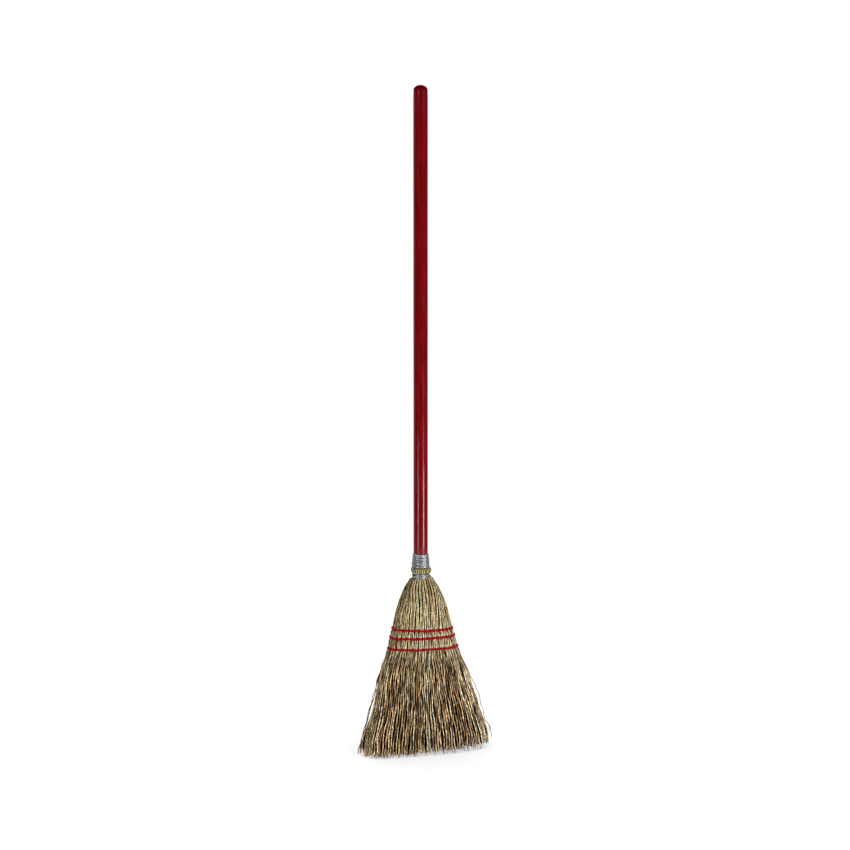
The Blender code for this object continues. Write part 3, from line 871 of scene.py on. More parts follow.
    def angle(self, share: Array, height: Array) -> Array:
        """Ellipse angle of a share of the girth.

        Args:
            share: Places round the head.
            height: Heights over the floor.

        Returns:
            The angles, from +X towards +Y.
        """
        low, up = cell(height / self.levels[-1], self.level_count)
        left, along = cell(share % 1, self.share_count)
        table = self.angle_table
        lower = table[low, left] * (1 - along) + table[low, left + 1] * along
        upper = table[low + 1, left] * (1 - along) + table[low + 1, left + 1] * along
        return lower * (1 - up) + upper * up

    def trim(self, side: Array, height: Array) -> Array:
        """How far the loose corn lies inside the outline.

        Args:
            side: Below 0 at the left, above 0 at the right.
            height: Heights over the floor.

        Returns:
            What comes off the half width.
        """
        heights, *sides = np.array(self.edges).T
        left, right = (np.interp(height, heights, values) for values in sides)
        return np.where(side < 0, left, right)

    def droop(self, index: int, share: Array) -> Array:
        """How far a row hangs under its nominal height.

        Args:
            index: Number of the row, from the top.
            share: Places round the head.

        Returns:
            The drop.
        """
        edges, tilt, middle = self.row_droops[index]
        cosine = np.cos(FULL_TURN * share)
        return edges * cosine**2 + tilt * cosine + middle * (1 - cosine**2)

    def above(self, index: int, share: Array, height: Array) -> Array:
        """Height of each place over a row, which is numbered from the top."""
        return height - self.rows[index] + self.droop(index, share)

    def off_bundle(self, index: int, share: Array) -> Array:
        """How far a place is past the middle between two stitches, which are at -0.5 and 0.5."""
        place = share * self.bundles + self.row_phases[index]
        return place - np.floor(place) - 0.5

    def tip_lift(self, share: Array) -> Array:
        """Height that all layers end higher at each place round the head.

        Args:
            share: Places round the head.

        Returns:
            The lifts.
        """
        wave = sum(
            strength * np.sin(FULL_TURN * number * share + phase)
            for strength, number, phase in self.tip_waves
        )
        group = np.floor((share % 1) * self.tip_groups).astype(int) % self.tip_groups
        spread = self.tip_spread * (1 - self.tip_tilt + self.tip_tilt * np.cos(FULL_TURN * share))
        low, most = self.tip_cut
        raised = np.clip(wave - low, 0, most)
        return self.tip_gap * raised + spread * self.group_lifts[group]

    def near_rows(self, height: Array, reach: float) -> Array:
        """How close each height is to a sewn row, from 0 to 1."""
        return np.max([bell(height - row, reach) for row in self.rows], axis=0)

    def bind(self, share: Array, inset: Array, height: Array) -> tuple[Array, Array]:
        """Pull the corn into the bundles that the stitches make.

        Args:
            share: Places round the head.
            inset: Depths below its surface.
            height: Heights over the floor.

        Returns:
            The places and depths with the stitches drawn tight.
        """
        for index in range(len(self.rows)):
            above = self.above(index, share, height)
            near = bell(above, self.row_reach)
            wide = bell(above, self.notch_reach * self.row_reach)
            off = self.off_bundle(index, share)
            share = share - off * self.gather * near / self.bundles
            inset = inset + self.row_pinch * near + self.notch * wide * np.abs(2 * off) ** 4
        low, high = self.pillow_onsets
        sewn = np.clip((height - self.rows[-1]) / low, 0, 1)
        sewn = sewn * np.clip((self.rows[0] - height) / high, 0, 1)
        return share, inset - self.pillow * sewn * (1 - self.near_rows(height, self.row_reach))

    def gap_light_and_shade(self, share: Array, height: Array) -> tuple[Array, Array]:
        """Paint shade into the gaps in the corn under the lowest row, and light onto the corn
        between them.

        Args:
            share: Places round the head.
            height: Heights over the floor.

        Returns:
            The painted light and the painted shade, from 0 to 1.
        """
        above = self.above(len(self.rows) - 1, share, height)
        below = eased(above, *self.gap_onset) * eased(above, *self.gap_end)
        column = share * self.gaps
        gap = eased(np.abs(2 * (column - np.floor(column)) - 1), *self.gap_border)
        dark, variation, beat = self.gap_shade
        strength = dark + variation * np.sin(beat * np.rint(column) ** 2)
        return self.gap_light * below * (1 - gap), strength * below * gap

    def sewn_light_and_shade(self, share: Array, height: Array) -> tuple[Array, Array]:
        """Painted light over each row and between the gaps, painted shade in notches, gaps and at
        the knob's ends, and a darker knob.

        Args:
            share: Places round the head.
            height: Heights over the floor.

        Returns:
            The painted light and the dark share, mostly painted shade, from 0 to 1.
        """
        neck = self.neck
        pales = []
        darks = [
            self.knob_top_shade.at(height - neck.upper_low),
            self.knob_low_shade.at(height - neck.band_top),
            self.knob_dark * (height > neck.band_top) * (height < neck.upper_low),
        ]
        for index in range(len(self.rows)):
            off = np.abs(2 * self.off_bundle(index, share))
            above = self.above(index, share, height)
            pales.append(self.row_painted_light.at(above) * (1 - off**3))
            darks.append(self.row_painted_shade.at(above) * off**6)
        pale, dark = self.gap_light_and_shade(share, height)
        return np.maximum.reduce([*pales, pale]), np.maximum.reduce([*darks, dark])

    def buried_shade(self, inset: Array, height: Array) -> Array:
        """Painted shade on the corn where it lies deep among the others.

        Args:
            inset: Depths below the surface.
            height: Heights over the floor.

        Returns:
            The painted shade, from 0 to 1.
        """
        low = eased(height, *self.sweep_heights)
        starts, ends = (
            depth - change * low for depth, change in zip(self.buried_depths, self.sweep_depths)
        )
        dark = eased(inset, starts, ends) * (self.buried_dark + self.sweep_dark * low)
        return dark * (1 - self.tip_light * eased(height, *self.tip_light_heights))

    def place(self, share: Array, inset: Array, height: Array) -> Arrays:
        """Points on or under the corn's surface, with directions there.

        Args:
            share: Places round the head.
            inset: Depths below its surface.
            height: Heights over the floor.

        Returns:
            Points, unit vectors round the head and unit vectors out of it.
        """
        angle = self.angle(share, height)
        centre, width, depth = self.section(height)
        cosine, sine = np.cos(angle), np.sin(angle)
        width = np.maximum(width - inset - self.trim(cosine, height), LEAST_RADIUS)
        depth = np.maximum(depth - inset, LEAST_RADIUS)
        square = self.squareness * eased(height, self.square_height, 0.0)
        square = square * np.clip(-self.square_onset * cosine, 0, 1)
        bulge = np.sign(sine) * np.abs(sine) ** (1 - square)
        to_left, to_front = self.splay_onsets
        corner = np.clip(-to_left * cosine, 0, 1) * np.clip(-to_front * sine, 0, 1)
        splay = self.splay * eased(height, self.splay_height, 0.0) * corner
        points = np.stack((centre + width * cosine, depth * bulge - splay, height), axis=-1)
        around = np.stack((-width * sine, depth * cosine, np.zeros_like(angle)), axis=-1)
        around /= np.linalg.norm(around, axis=-1, keepdims=True)
        outward = np.stack((around[..., 1], -around[..., 0], np.zeros_like(angle)), axis=-1)
        return points, around, outward


# Straws


@dataclass
class Straws:
    """Paths of many straws: a row for each straw and a column for each of its rings."""

    share: Array
    inset: Array
    height: Array
    width: Array
    thickness: Array
    tone: Array
    # Painted shade along each straw
    shade: Array | float = 0.0


@dataclass(frozen=True)
class Waves:
    """Smooth random shifts along straws: their usual size, then shortest and longest wave."""

    size: float
    lengths: Span
    terms: int = 3

    def draw(self, rng: Rng, height: Array, scale: float = 1.0) -> Array:
        """Draw a shift for each ring of each straw.

        Args:
            rng: Source of chance.
            height: Heights of the rings, a row for each straw.
            scale: What the size is multiplied by.

        Returns:
            The shifts.
        """
        each = (len(height), 1)
        total = np.zeros_like(height)
        for _ in range(self.terms):
            length = rng.uniform(*self.lengths, each)
            phase = rng.uniform(0, FULL_TURN, each)
            total += rng.normal(0, 1, each) * swing(height, length, phase)
        return self.size * scale * total / math.sqrt(self.terms)


def read_points(mesh: Mesh) -> Array:
    """Points of a mesh, a row for each vertex.

    Args:
        mesh: The mesh.

    Returns:
        The points.
    """
    points = np.empty(len(mesh.vertices) * 3)
    mesh.vertices.foreach_get("co", points)
    return points.reshape(-1, 3)


def store(mesh: Mesh, name: str, values: Array) -> None:
    """Store a value on each vertex, for a material to read."""
    layer = mesh.attributes.new(name, "FLOAT", "POINT")
    layer.data.foreach_set("value", values.astype(np.float32))


@dataclass
class StrawTemplate:
    """One closed straw along +Z, copied for each straw of a piece and then laid along its path."""

    sides: int
    levels: Array

    def one(self) -> bmesh.types.BMesh:
        """Make one straw, cut into rings.

        Returns:
            The shape, which the caller frees.
        """
        bm = bmesh.new()
        middle = Matrix.Translation((0, 0, 0.5))
        bmesh.ops.create_cone(
            bm, cap_ends=True, segments=self.sides, radius1=1, radius2=1, depth=1, matrix=middle
        )
        for level in self.levels[1:-1]:
            geometry = bm.verts[:] + bm.edges[:] + bm.faces[:]
            bmesh.ops.bisect_plane(
                bm, geom=geometry, plane_co=(0, 0, level), plane_no=(0, 0, 1), dist=MERGE_DISTANCE
            )
        return bm

    def repeated(self, count: int, name: str) -> tuple[Mesh, Array]:
        """Make a mesh of copies.

        Args:
            count: Number of straws.
            name: The mesh's name.

        Returns:
            The mesh, and for each vertex the number of its straw.
        """
        bm = self.one()
        number = bm.verts.layers.int.new("straw")
        made = 1
        while made < count:
            take = min(made, count - made)
            vertices = [vertex for vertex in bm.verts if vertex[number] < take]
            chosen = set(vertices)
            edges = [edge for edge in bm.edges if edge.verts[0] in chosen]
            faces = [face for face in bm.faces if face.verts[0] in chosen]
            copies = bmesh.ops.duplicate(bm, geom=vertices + edges + faces)["geom"]
            for item in copies:
                if isinstance(item, bmesh.types.BMVert):
                    item[number] += made
            made += take
        mesh = bpy.data.meshes.new(name)
        bm.to_mesh(mesh)
        bm.free()
        numbers = np.empty(len(mesh.vertices), np.int32)
        mesh.attributes["straw"].data.foreach_get("value", numbers)
        mesh.attributes.remove(mesh.attributes["straw"])
        return mesh, numbers

    def laid(self, straws: Straws, head: Head, name: str) -> Mesh:
        """Lay the copies along their paths.

        Args:
            straws: The paths.
            head: The head that they lie on.
            name: The mesh's name.

        Returns:
            The finished mesh, with what the material reads on it.
        """
        mesh, number = self.repeated(len(straws.share), name)
        local = read_points(mesh)
        ring = np.abs(local[:, 2, None] - self.levels[None, :]).argmin(axis=1)
        at = (number, ring)
        share, inset = head.bind(straws.share, straws.inset, straws.height)
        points, around, outward = (part[at] for part in head.place(share, inset, straws.height))
        points = (
            points
            + around * (straws.width[at] * local[:, 0])[:, None]
            + outward * (straws.thickness[at] * local[:, 1])[:, None]
        )
        points[:, 2] = np.maximum(points[:, 2], 0.0)
        mesh.vertices.foreach_set("co", points.ravel())
        # Painted highlight over the rows; painted shade in notches, gaps, on deep corn and in dark
        # stretches
        pale, deep = head.sewn_light_and_shade(straws.share, straws.height)
        buried = head.buried_shade(straws.inset, straws.height)
        deep = np.maximum(np.maximum(deep, buried), straws.shade)
        store(mesh, "tone", straws.tone[number])
        store(mesh, "pale", pale[at])
        store(mesh, "deep", deep[at])
        store(mesh, "rim", np.abs(local[:, 0]))
        mesh.shade_smooth()
        mesh.update()
        return mesh


def show(mesh: Mesh, finish: Material, slot: Slot, *nodes: str) -> None:
    """Add a finished piece to the scene under its mesh's name and tie it to the frame.

    Args:
        mesh: Its mesh, in place.
        finish: Its material.
        slot: The record's slot for it; not used.
        nodes: CAD nodes that it stands for.
    """
    mesh.materials.clear()
    mesh.materials.append(finish)
    piece = bpy.data.objects.new(mesh.name, mesh)
    bpy.context.scene.collection.objects.link(piece)
    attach(piece, "root")
    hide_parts(*nodes)
    log.info("%s: %d faces", piece.name, len(mesh.polygons))


def fibre_levels(rings: int, last: float) -> Array:
    """Levels of a fibre's rings, the last but one of them given."""
    return np.append(np.linspace(0, last, rings - 1), 1.0)


@dataclass
class Layer:
    """One layer of a bunch: its number of straws, their half width and their tones."""

    count: int
    half_width: float
    tones: Span
    wander: float
    dark_share: float

    @property
    def each(self) -> tuple[int, int]:
        """Shape of one value for each straw."""
        return self.count, 1

    @property
    def order(self) -> Array:
        """Numbers of the straws."""
        return np.arange(self.count)[:, None]

    def draw_tones(self, rng: Rng) -> Array:
        """Draw a tone for each straw, some of them dark.

        Args:
            rng: Source of chance.

        Returns:
            The tones.
        """
        start = rng.uniform(0, 1)
        jitter = rng.uniform(0, TONE_JITTER, self.count)
        spread = (np.arange(self.count) * GOLDEN_SHARE + start + jitter) % 1
        low, high = self.tones
        plain = low + (high - low) * spread
        dark = rng.uniform(*DARK_TONES, self.count)
        return np.where(rng.uniform(0, 1, self.count) < self.dark_share, dark, plain)


@dataclass
class StalkLayer(Layer):
    """One layer of a bunch's stalks."""

    neck_inset: float = 0.0
    low_inset: float = 0.0
    shift: float = 0.0
    from_butts: bool = True
    # Waves of each stalk round the head, as shares of the wander
    drifts: tuple[Waves, ...] = (Waves(1.0, (0.05, 0.11)), Waves(0.6, (0.016, 0.034)))
    # Lower ends, as shares of the way from under the lowest row to the last ring
    ends: Span = (0.15, 0.55)
    # How unevenly the stalks stand, and how far the wire draws them together in pairs
    jitter: float = 0.14
    pairing: float = 0.30
    unevenness: float = 0.00035
    heave: Waves = Waves(0.0004, (0.03, 0.08))
    girths: Span = (0.86, 1.14)
    swelling: Waves = Waves(0.07, (0.02, 0.05))
    # Share of the width under the wire, what of it the upper turns take off, and how suddenly
    neck_width: float = 0.66
    wire_squeeze: float = 0.06
    squeeze_step: float = 0.001
    flatness: float = 0.80
    # How much thinner the lower end is, how far it sinks, and where that is complete
    taper: float = 0.78
    taper_inset: float = 0.0026
    taper_end: float = 0.9
    # Share of stalks that get painted shade at the neck, and how much
    shaded: float = 0.32
    shades: Span = (0.45, 0.80)


@dataclass
class FibreLayer(Layer):
    """One layer of the fine fibres below the rows."""

    inset: float = 0.0
    pull: float = 0.0
    pull_spread: Span = (0.8, 1.15)
    shift: float = 0.0
    # Waves of each fibre round the head, as shares of the wander
    drifts: tuple[Waves, ...] = (Waves(1.0, (0.035, 0.10)), Waves(0.7, (0.020, 0.032)))
    tops: Span = (0.1665, 0.1745)
    # How high the clusters' tips end, how that is shared between left and right, and what the
    # right has over it
    lift: float = 0.0050
    lift_tilt: Span = (0.4, 0.7)
    right_lift: float = 0.0020
    tip_scatter: float = 0.0014
    least_tip: float = 0.0002
    # Share of single fibres that reach lower, and what is left of their height
    singles: float = 0.12
    single_tip: float = 0.12
    # Two sways that a cluster shares, and the shortest and longest waves of both
    sways: Span = (0.0004, 0.0005)
    sway_lengths: tuple[Span, Span] = ((0.06, 0.019), (0.13, 0.040))
    # Sway of a whole stretch of the head
    field_sway: float = 0.0004
    field_length: float = 0.11
    # Share of fibres that keep to the others, and how much more the rest wanders
    tidy_share: float = 0.90
    unruliness: float = 3.2
    # Step from the lowest row and height between which they come free, gather and sink
    freeing: Span = (-0.001, 0.147)
    gathering: Span = (0.002, 0.1530)
    sinking: Span = (0.004, 0.145)
    # Depth over the rows, heave of each fibre and of a cluster, and depth of a cluster's borders
    top_inset: float = 0.0014
    own_heave: Waves = Waves(0.0004, (0.04, 0.12))
    heave: float = 0.0004
    border_inset: float = 0.0028
    # Tone of dark clusters, share of fibres that keep their cluster's tone, and its spread
    cluster_dark: float = 0.10
    together: float = 0.75
    tone_spread: float = 0.05
    girths: Span = (0.75, 1.25)
    # Losses of width, each with the heights at which it starts and is full, and what is left
    tapers: tuple[Point, ...] = ((0.38, 0.11, 0.155), (0.10, 0.10, 0.0), (0.28, 0.014, 0.0))
    end_width: float = 0.55
    flatness: float = 0.85
    stand_out: float = 0.0006
    # Painted shade in a dark patch here and there along each cluster, like a hole between clusters:
    # strength, length in short waves, borders, and where they set in over the tips
    shade_patches: float = 0.0
    patch_length: float = 2.1
    patch_border: Span = (0.50, 0.90)
    patch_heights: Span = (0.003, 0.026)


@dataclass
class CornBunch:
    """A bunch at one side of the head: stalks from the neck to below the rows, then fibres."""

    head: Head
    place: Place
    node: str
    # Half of its share of the girth, at the neck and at the sweep
    neck_span: float
    low_span: float
    stalk_layers: tuple[StalkLayer, ...]
    fibre_layers: tuple[FibreLayer, ...]
    seed: int
    widening: float = 0.84
    clusters: int = 100
    waves_round: int = 34
    stalk_sides: int = 6
    light_sides: int = 4
    fibre_rings: int = 24
    last_ring: float = 0.988
    # Rings round each row and over the knob, and how far short stalks are tucked up
    row_rings: tuple[float, ...] = (0.0048, 0.0022, 0.0, -0.0022, -0.0048)
    knob_ring: float = 0.0004
    tuck: float = 0.002
    # Other rings of the stalks from the butts and of the short ones
    long_rings: tuple[float, ...] = (
        0.2875, 0.2600, 0.2555, 0.2500, 0.2430, 0.2350, 0.2260, 0.2170, 0.2080, 0.2000,
        0.1480, 0.1390, 0.1310, 0.1230, 0.1150,
    )
    short_rings: tuple[float, ...] = (
        0.2570, 0.2470, 0.2330, 0.2150, 0.1970, 0.1840, 0.1695, 0.1560, 0.1450, 0.1310, 0.1150,
    )
    # Heights between which the wire's hold sets in, and at which stalks are free, deep and wide
    bound_heights: Span = (0.215, 0.250)
    free_height: float = 0.235
    sink_height: float = 0.225
    wide_height: float = 0.215
    # Steps over the shoulder and under the lowest row where they start to sink and to taper
    sink_step: float = 0.002
    taper_step: float = 0.002
    # How much the rows hold the stalks, and how near
    row_hold: float = 0.55
    hold_reach: float = 0.006

    def span(self, height: Array) -> Array:
        """Half of the share of the girth that the bunch takes up.

        Args:
            height: Heights over the floor.

        Returns:
            The shares.
        """
        top = self.head.neck.shoulder_top
        wide = eased(height, top, self.widening * top)
        return self.neck_span + (self.low_span - self.neck_span) * wide

    def past_row(self, height: Array, change: Span) -> Array:
        """How far a change is complete that starts at a step from the lowest row."""
        step, end = change
        return eased(height, self.head.rows[-1] + step, end)

    def stalk_heights(self, from_butts: bool) -> Array:
        """Heights of the rings of a stalk, closest at the neck and at the rows.

        Args:
            from_butts: True for a long stalk, False for one that starts under the lower turns.

        Returns:
            The heights, from the top down.
        """
        neck, rows = self.head.neck, self.head.rows
        heights = [neck.band_low, neck.shoulder_top]
        if from_butts:
            heights += [neck.butt_top, neck.upper_low + self.knob_ring, *neck.knob_heights]
            heights += [neck.band_top, *self.long_rings]
            heights += [row + ring for row in rows for ring in self.row_rings]
        else:
            heights += [neck.band_low + self.tuck, *rows, *self.short_rings]
        return np.array(sorted(heights, reverse=True))

    def stalks(self, layer: StalkLayer, rng: Rng) -> tuple[Straws, Array]:
        """Lay out one layer of stalks.

        Args:
            layer: The layer.
            rng: Source of chance.

        Returns:
            The paths, and the template's levels for them.
        """
        head, neck = self.head, self.head.neck
        heights = self.stalk_heights(layer.from_butts)
        knee = head.rows[-1] + self.row_rings[-1]
        ends = rng.uniform(*layer.ends, layer.each)
        height = np.where(heights < knee, knee - (knee - heights) * ends, heights)
        jitter = rng.uniform(-layer.jitter, layer.jitter, layer.each)
        across = (layer.order + 0.5 + layer.shift + jitter) / layer.count
        span = self.span(height)
        share = self.place.value + (2 * across - 1) * span
        bound = eased(height, *self.bound_heights)
        side = 2 * (layer.order % 2) - 1
        share = share - layer.pairing * bound * side * span / layer.count
        free = eased(height, neck.shoulder_top, self.free_height)
        free = free * (1 - self.row_hold * head.near_rows(height, self.hold_reach))
        drift = sum(part.draw(rng, height, layer.wander) for part in layer.drifts)
        share = share + free * drift / head.girth(height)
        down = eased(height, neck.shoulder_top + self.sink_step, self.sink_height)
        inset = layer.neck_inset + (layer.low_inset - layer.neck_inset) * down
        inset = inset + layer.unevenness * rng.uniform(-1, 1, layer.each)
        inset = inset + free * np.abs(layer.heave.draw(rng, height))
        full_taper = knee - (knee - heights[-1]) * layer.taper_end
        taper = eased(height, head.rows[-1] - self.taper_step, full_taper)
        width = layer.half_width * rng.uniform(*layer.girths, layer.each)
        step = layer.squeeze_step
        held = eased(height, neck.upper_low - step, neck.upper_low + step)
        slim = layer.neck_width - layer.wire_squeeze * held
        width = width * (slim + (1 - slim) * eased(height, neck.shoulder_top, self.wide_height))
        width = width * (1 + layer.swelling.draw(rng, height))
        width = width * (1 - layer.taper * taper)
        thickness = layer.flatness * width
        inset = inset + thickness + layer.taper_inset * taper
        shaded = rng.uniform(0, 1, layer.each) < layer.shaded
        shade = bound * np.where(shaded, rng.uniform(*layer.shades, layer.each), 0.0)
        straws = Straws(share, inset, height, width, thickness, layer.draw_tones(rng), shade)
        return straws, np.linspace(0, 1, len(heights))

    def fibres(self, layer: FibreLayer, levels: Array, rng: Rng) -> Straws:
        """Lay out one layer of fibres.

        Args:
            layer: The layer.
            levels: The template's levels.
            rng: Source of chance.

        Returns:
            The paths.
        """
        head = self.head
        across = (layer.order + rng.uniform(0, 1, layer.each)) / layer.count
        share = self.place.value + (2 * across - 1) * self.low_span
        place = share * self.clusters + layer.shift
        cluster = np.floor(place).astype(int)[:, 0] % self.clusters
        stretch = np.floor(share * self.waves_round).astype(int)[:, 0] % self.waves_round
        off = np.floor(place) + 0.5 - place

        # One source of chance for the whole head, for what the fibres of a cluster share
        shared = np.random.default_rng(head.bundles)
        raised = shared.uniform(0, 1, (self.clusters, 1))[cluster] ** 2
        pull = layer.pull * shared.uniform(*layer.pull_spread, (self.clusters, 1))[cluster]
        phases = shared.uniform(0, FULL_TURN, (self.clusters, 3))[cluster]
        lengths = shared.uniform(*layer.sway_lengths, (self.clusters, 2))[cluster]
        stretch_phase = shared.uniform(0, FULL_TURN, (self.waves_round, 1))[stretch]
        dark = shared.uniform(0, 1, self.clusters) < layer.dark_share
        tones = shared.uniform(*layer.tones, self.clusters)
        tones = np.where(dark, layer.cluster_dark, tones)[cluster]
        long, short = lengths[:, :1], lengths[:, 1:]
        first, second, third = (phases[:, index, None] for index in range(3))

        right = 0.5 + 0.5 * np.cos(FULL_TURN * share)
        at_left, more_at_right = layer.lift_tilt
        lift = layer.lift * raised * (at_left + more_at_right * right)
        lift = lift + layer.right_lift * right**3
        top = rng.uniform(*layer.tops, layer.each)
        scatter = np.abs(rng.normal(0, layer.tip_scatter, layer.each))
        tip = lift + head.tip_lift(share) + scatter + layer.least_tip
        own = np.random.default_rng(self.seed + layer.count)
        single = own.uniform(0, 1, layer.each) < layer.singles
        tip = np.where(single, layer.single_tip * tip, tip)
        height = top + (tip - top) * levels

        free = self.past_row(height, layer.freeing)
        sway = layer.sways[0] * swing(height, long, first)
        sway = sway + layer.sways[1] * swing(height, short, second)
        sway = sway + layer.field_sway * swing(height, layer.field_length, stretch_phase)
        drift = sum(part.draw(rng, height, layer.wander) for part in layer.drifts)
        unruly = rng.uniform(0, 1, layer.each) > layer.tidy_share
        sway = sway + drift * np.where(unruly, layer.unruliness, 1.0)
        gathered = self.past_row(height, layer.gathering)
        share = share + gathered * off * pull / self.clusters + free * sway / head.girth(height)

        depth = layer.inset * self.past_row(height, layer.sinking) + layer.top_inset * (1 - free)
        heave = layer.heave * (1 + swing(height, long, third))
        own_heave = layer.own_heave.draw(rng, height)
        inset = depth + free * (own_heave + heave + layer.border_inset * off**2)
        alone = rng.uniform(0, 1, layer.count) > layer.together
        own_tones = layer.draw_tones(rng)
        spread = rng.uniform(-layer.tone_spread, layer.tone_spread, layer.count)
        tone = np.where(alone, own_tones, tones + spread)
        width = layer.half_width * rng.uniform(*layer.girths, layer.each)
        for loss, start, end in layer.tapers:
            width = width * (1 - loss * eased(height, start, end))
        width = width * np.where(levels > self.last_ring, layer.end_width, 1.0)
        inset = np.maximum(inset, -layer.stand_out) + width
        patch = swing(height, layer.patch_length * short, first)
        shade = layer.shade_patches * gathered * eased(patch, *layer.patch_border)
        shade = shade * eased(height, *layer.patch_heights)
        return Straws(share, inset, height, width, layer.flatness * width, tone, shade)

    def build(self, finish: Material) -> None:
        """Make the bunch's pieces.

        Args:
            finish: The corn's material.
        """
        rng = np.random.default_rng(self.seed)
        stem = self.node.removesuffix("_bunch")
        for index, layer in enumerate(self.stalk_layers, 1):
            straws, levels = self.stalks(layer, rng)
            sides = self.stalk_sides if layer.from_butts else self.light_sides
            mesh = StrawTemplate(sides, levels).laid(straws, self.head, f"{stem}_stalks_{index}")
            show(mesh, finish, Slot.CORN, self.node)
        levels = fibre_levels(self.fibre_rings, self.last_ring)
        template = StrawTemplate(FIBRE_SIDES, levels)
        for index, layer in enumerate(self.fibre_layers, 1):
            straws = self.fibres(layer, levels, rng)
            mesh = template.laid(straws, self.head, f"{stem}_fibres_{index}")
            show(mesh, finish, Slot.CORN, self.node)


@dataclass
class StrayStraws:
    """A few loose straws that stand off one edge of the head."""

    head: Head
    place: Place
    node: str
    # Upper end, lower end, how far each stands off, its tone, and what it loses of it at the tip
    straws: tuple[tuple[float, float, float, float, float], ...]
    seed: int
    half_width: float = 0.00078
    rings: int = 25
    root_inset: float = 0.0012
    wander: Waves = Waves(0.0010, (0.03, 0.07))
    curl: Waves = Waves(0.0008, (0.014, 0.040))
    # Levels at which a straw is all the way out, and starts to turn back
    full_out: float = 0.60
    turning: float = 0.5
    taper: float = 0.35

    def build(self, finish: Material) -> None:
        """Make the piece.

        Args:
            finish: The corn's material.
        """
        rng = np.random.default_rng(self.seed)
        levels = np.linspace(0, 1, self.rings)
        tops, lows, reach, tone, fall = (column[:, None] for column in np.array(self.straws).T)
        height = tops + (lows - tops) * levels
        share = self.place.value + self.wander.draw(rng, height) / self.head.girth(height)
        out = eased(levels, 0.0, self.full_out) * (1 - fall * eased(levels, self.turning, 1.0))
        inset = self.root_inset - (reach + self.root_inset) * out + self.curl.draw(rng, height)
        width = self.half_width * (1 - self.taper * levels) + np.zeros_like(height)
        straws = Straws(share, inset, height, width, width, tone[:, 0])
        name = self.node.removesuffix("_bunch") + "_strays"
        mesh = StrawTemplate(FIBRE_SIDES, levels).laid(straws, self.head, name)
        show(mesh, finish, Slot.CORN, self.node)


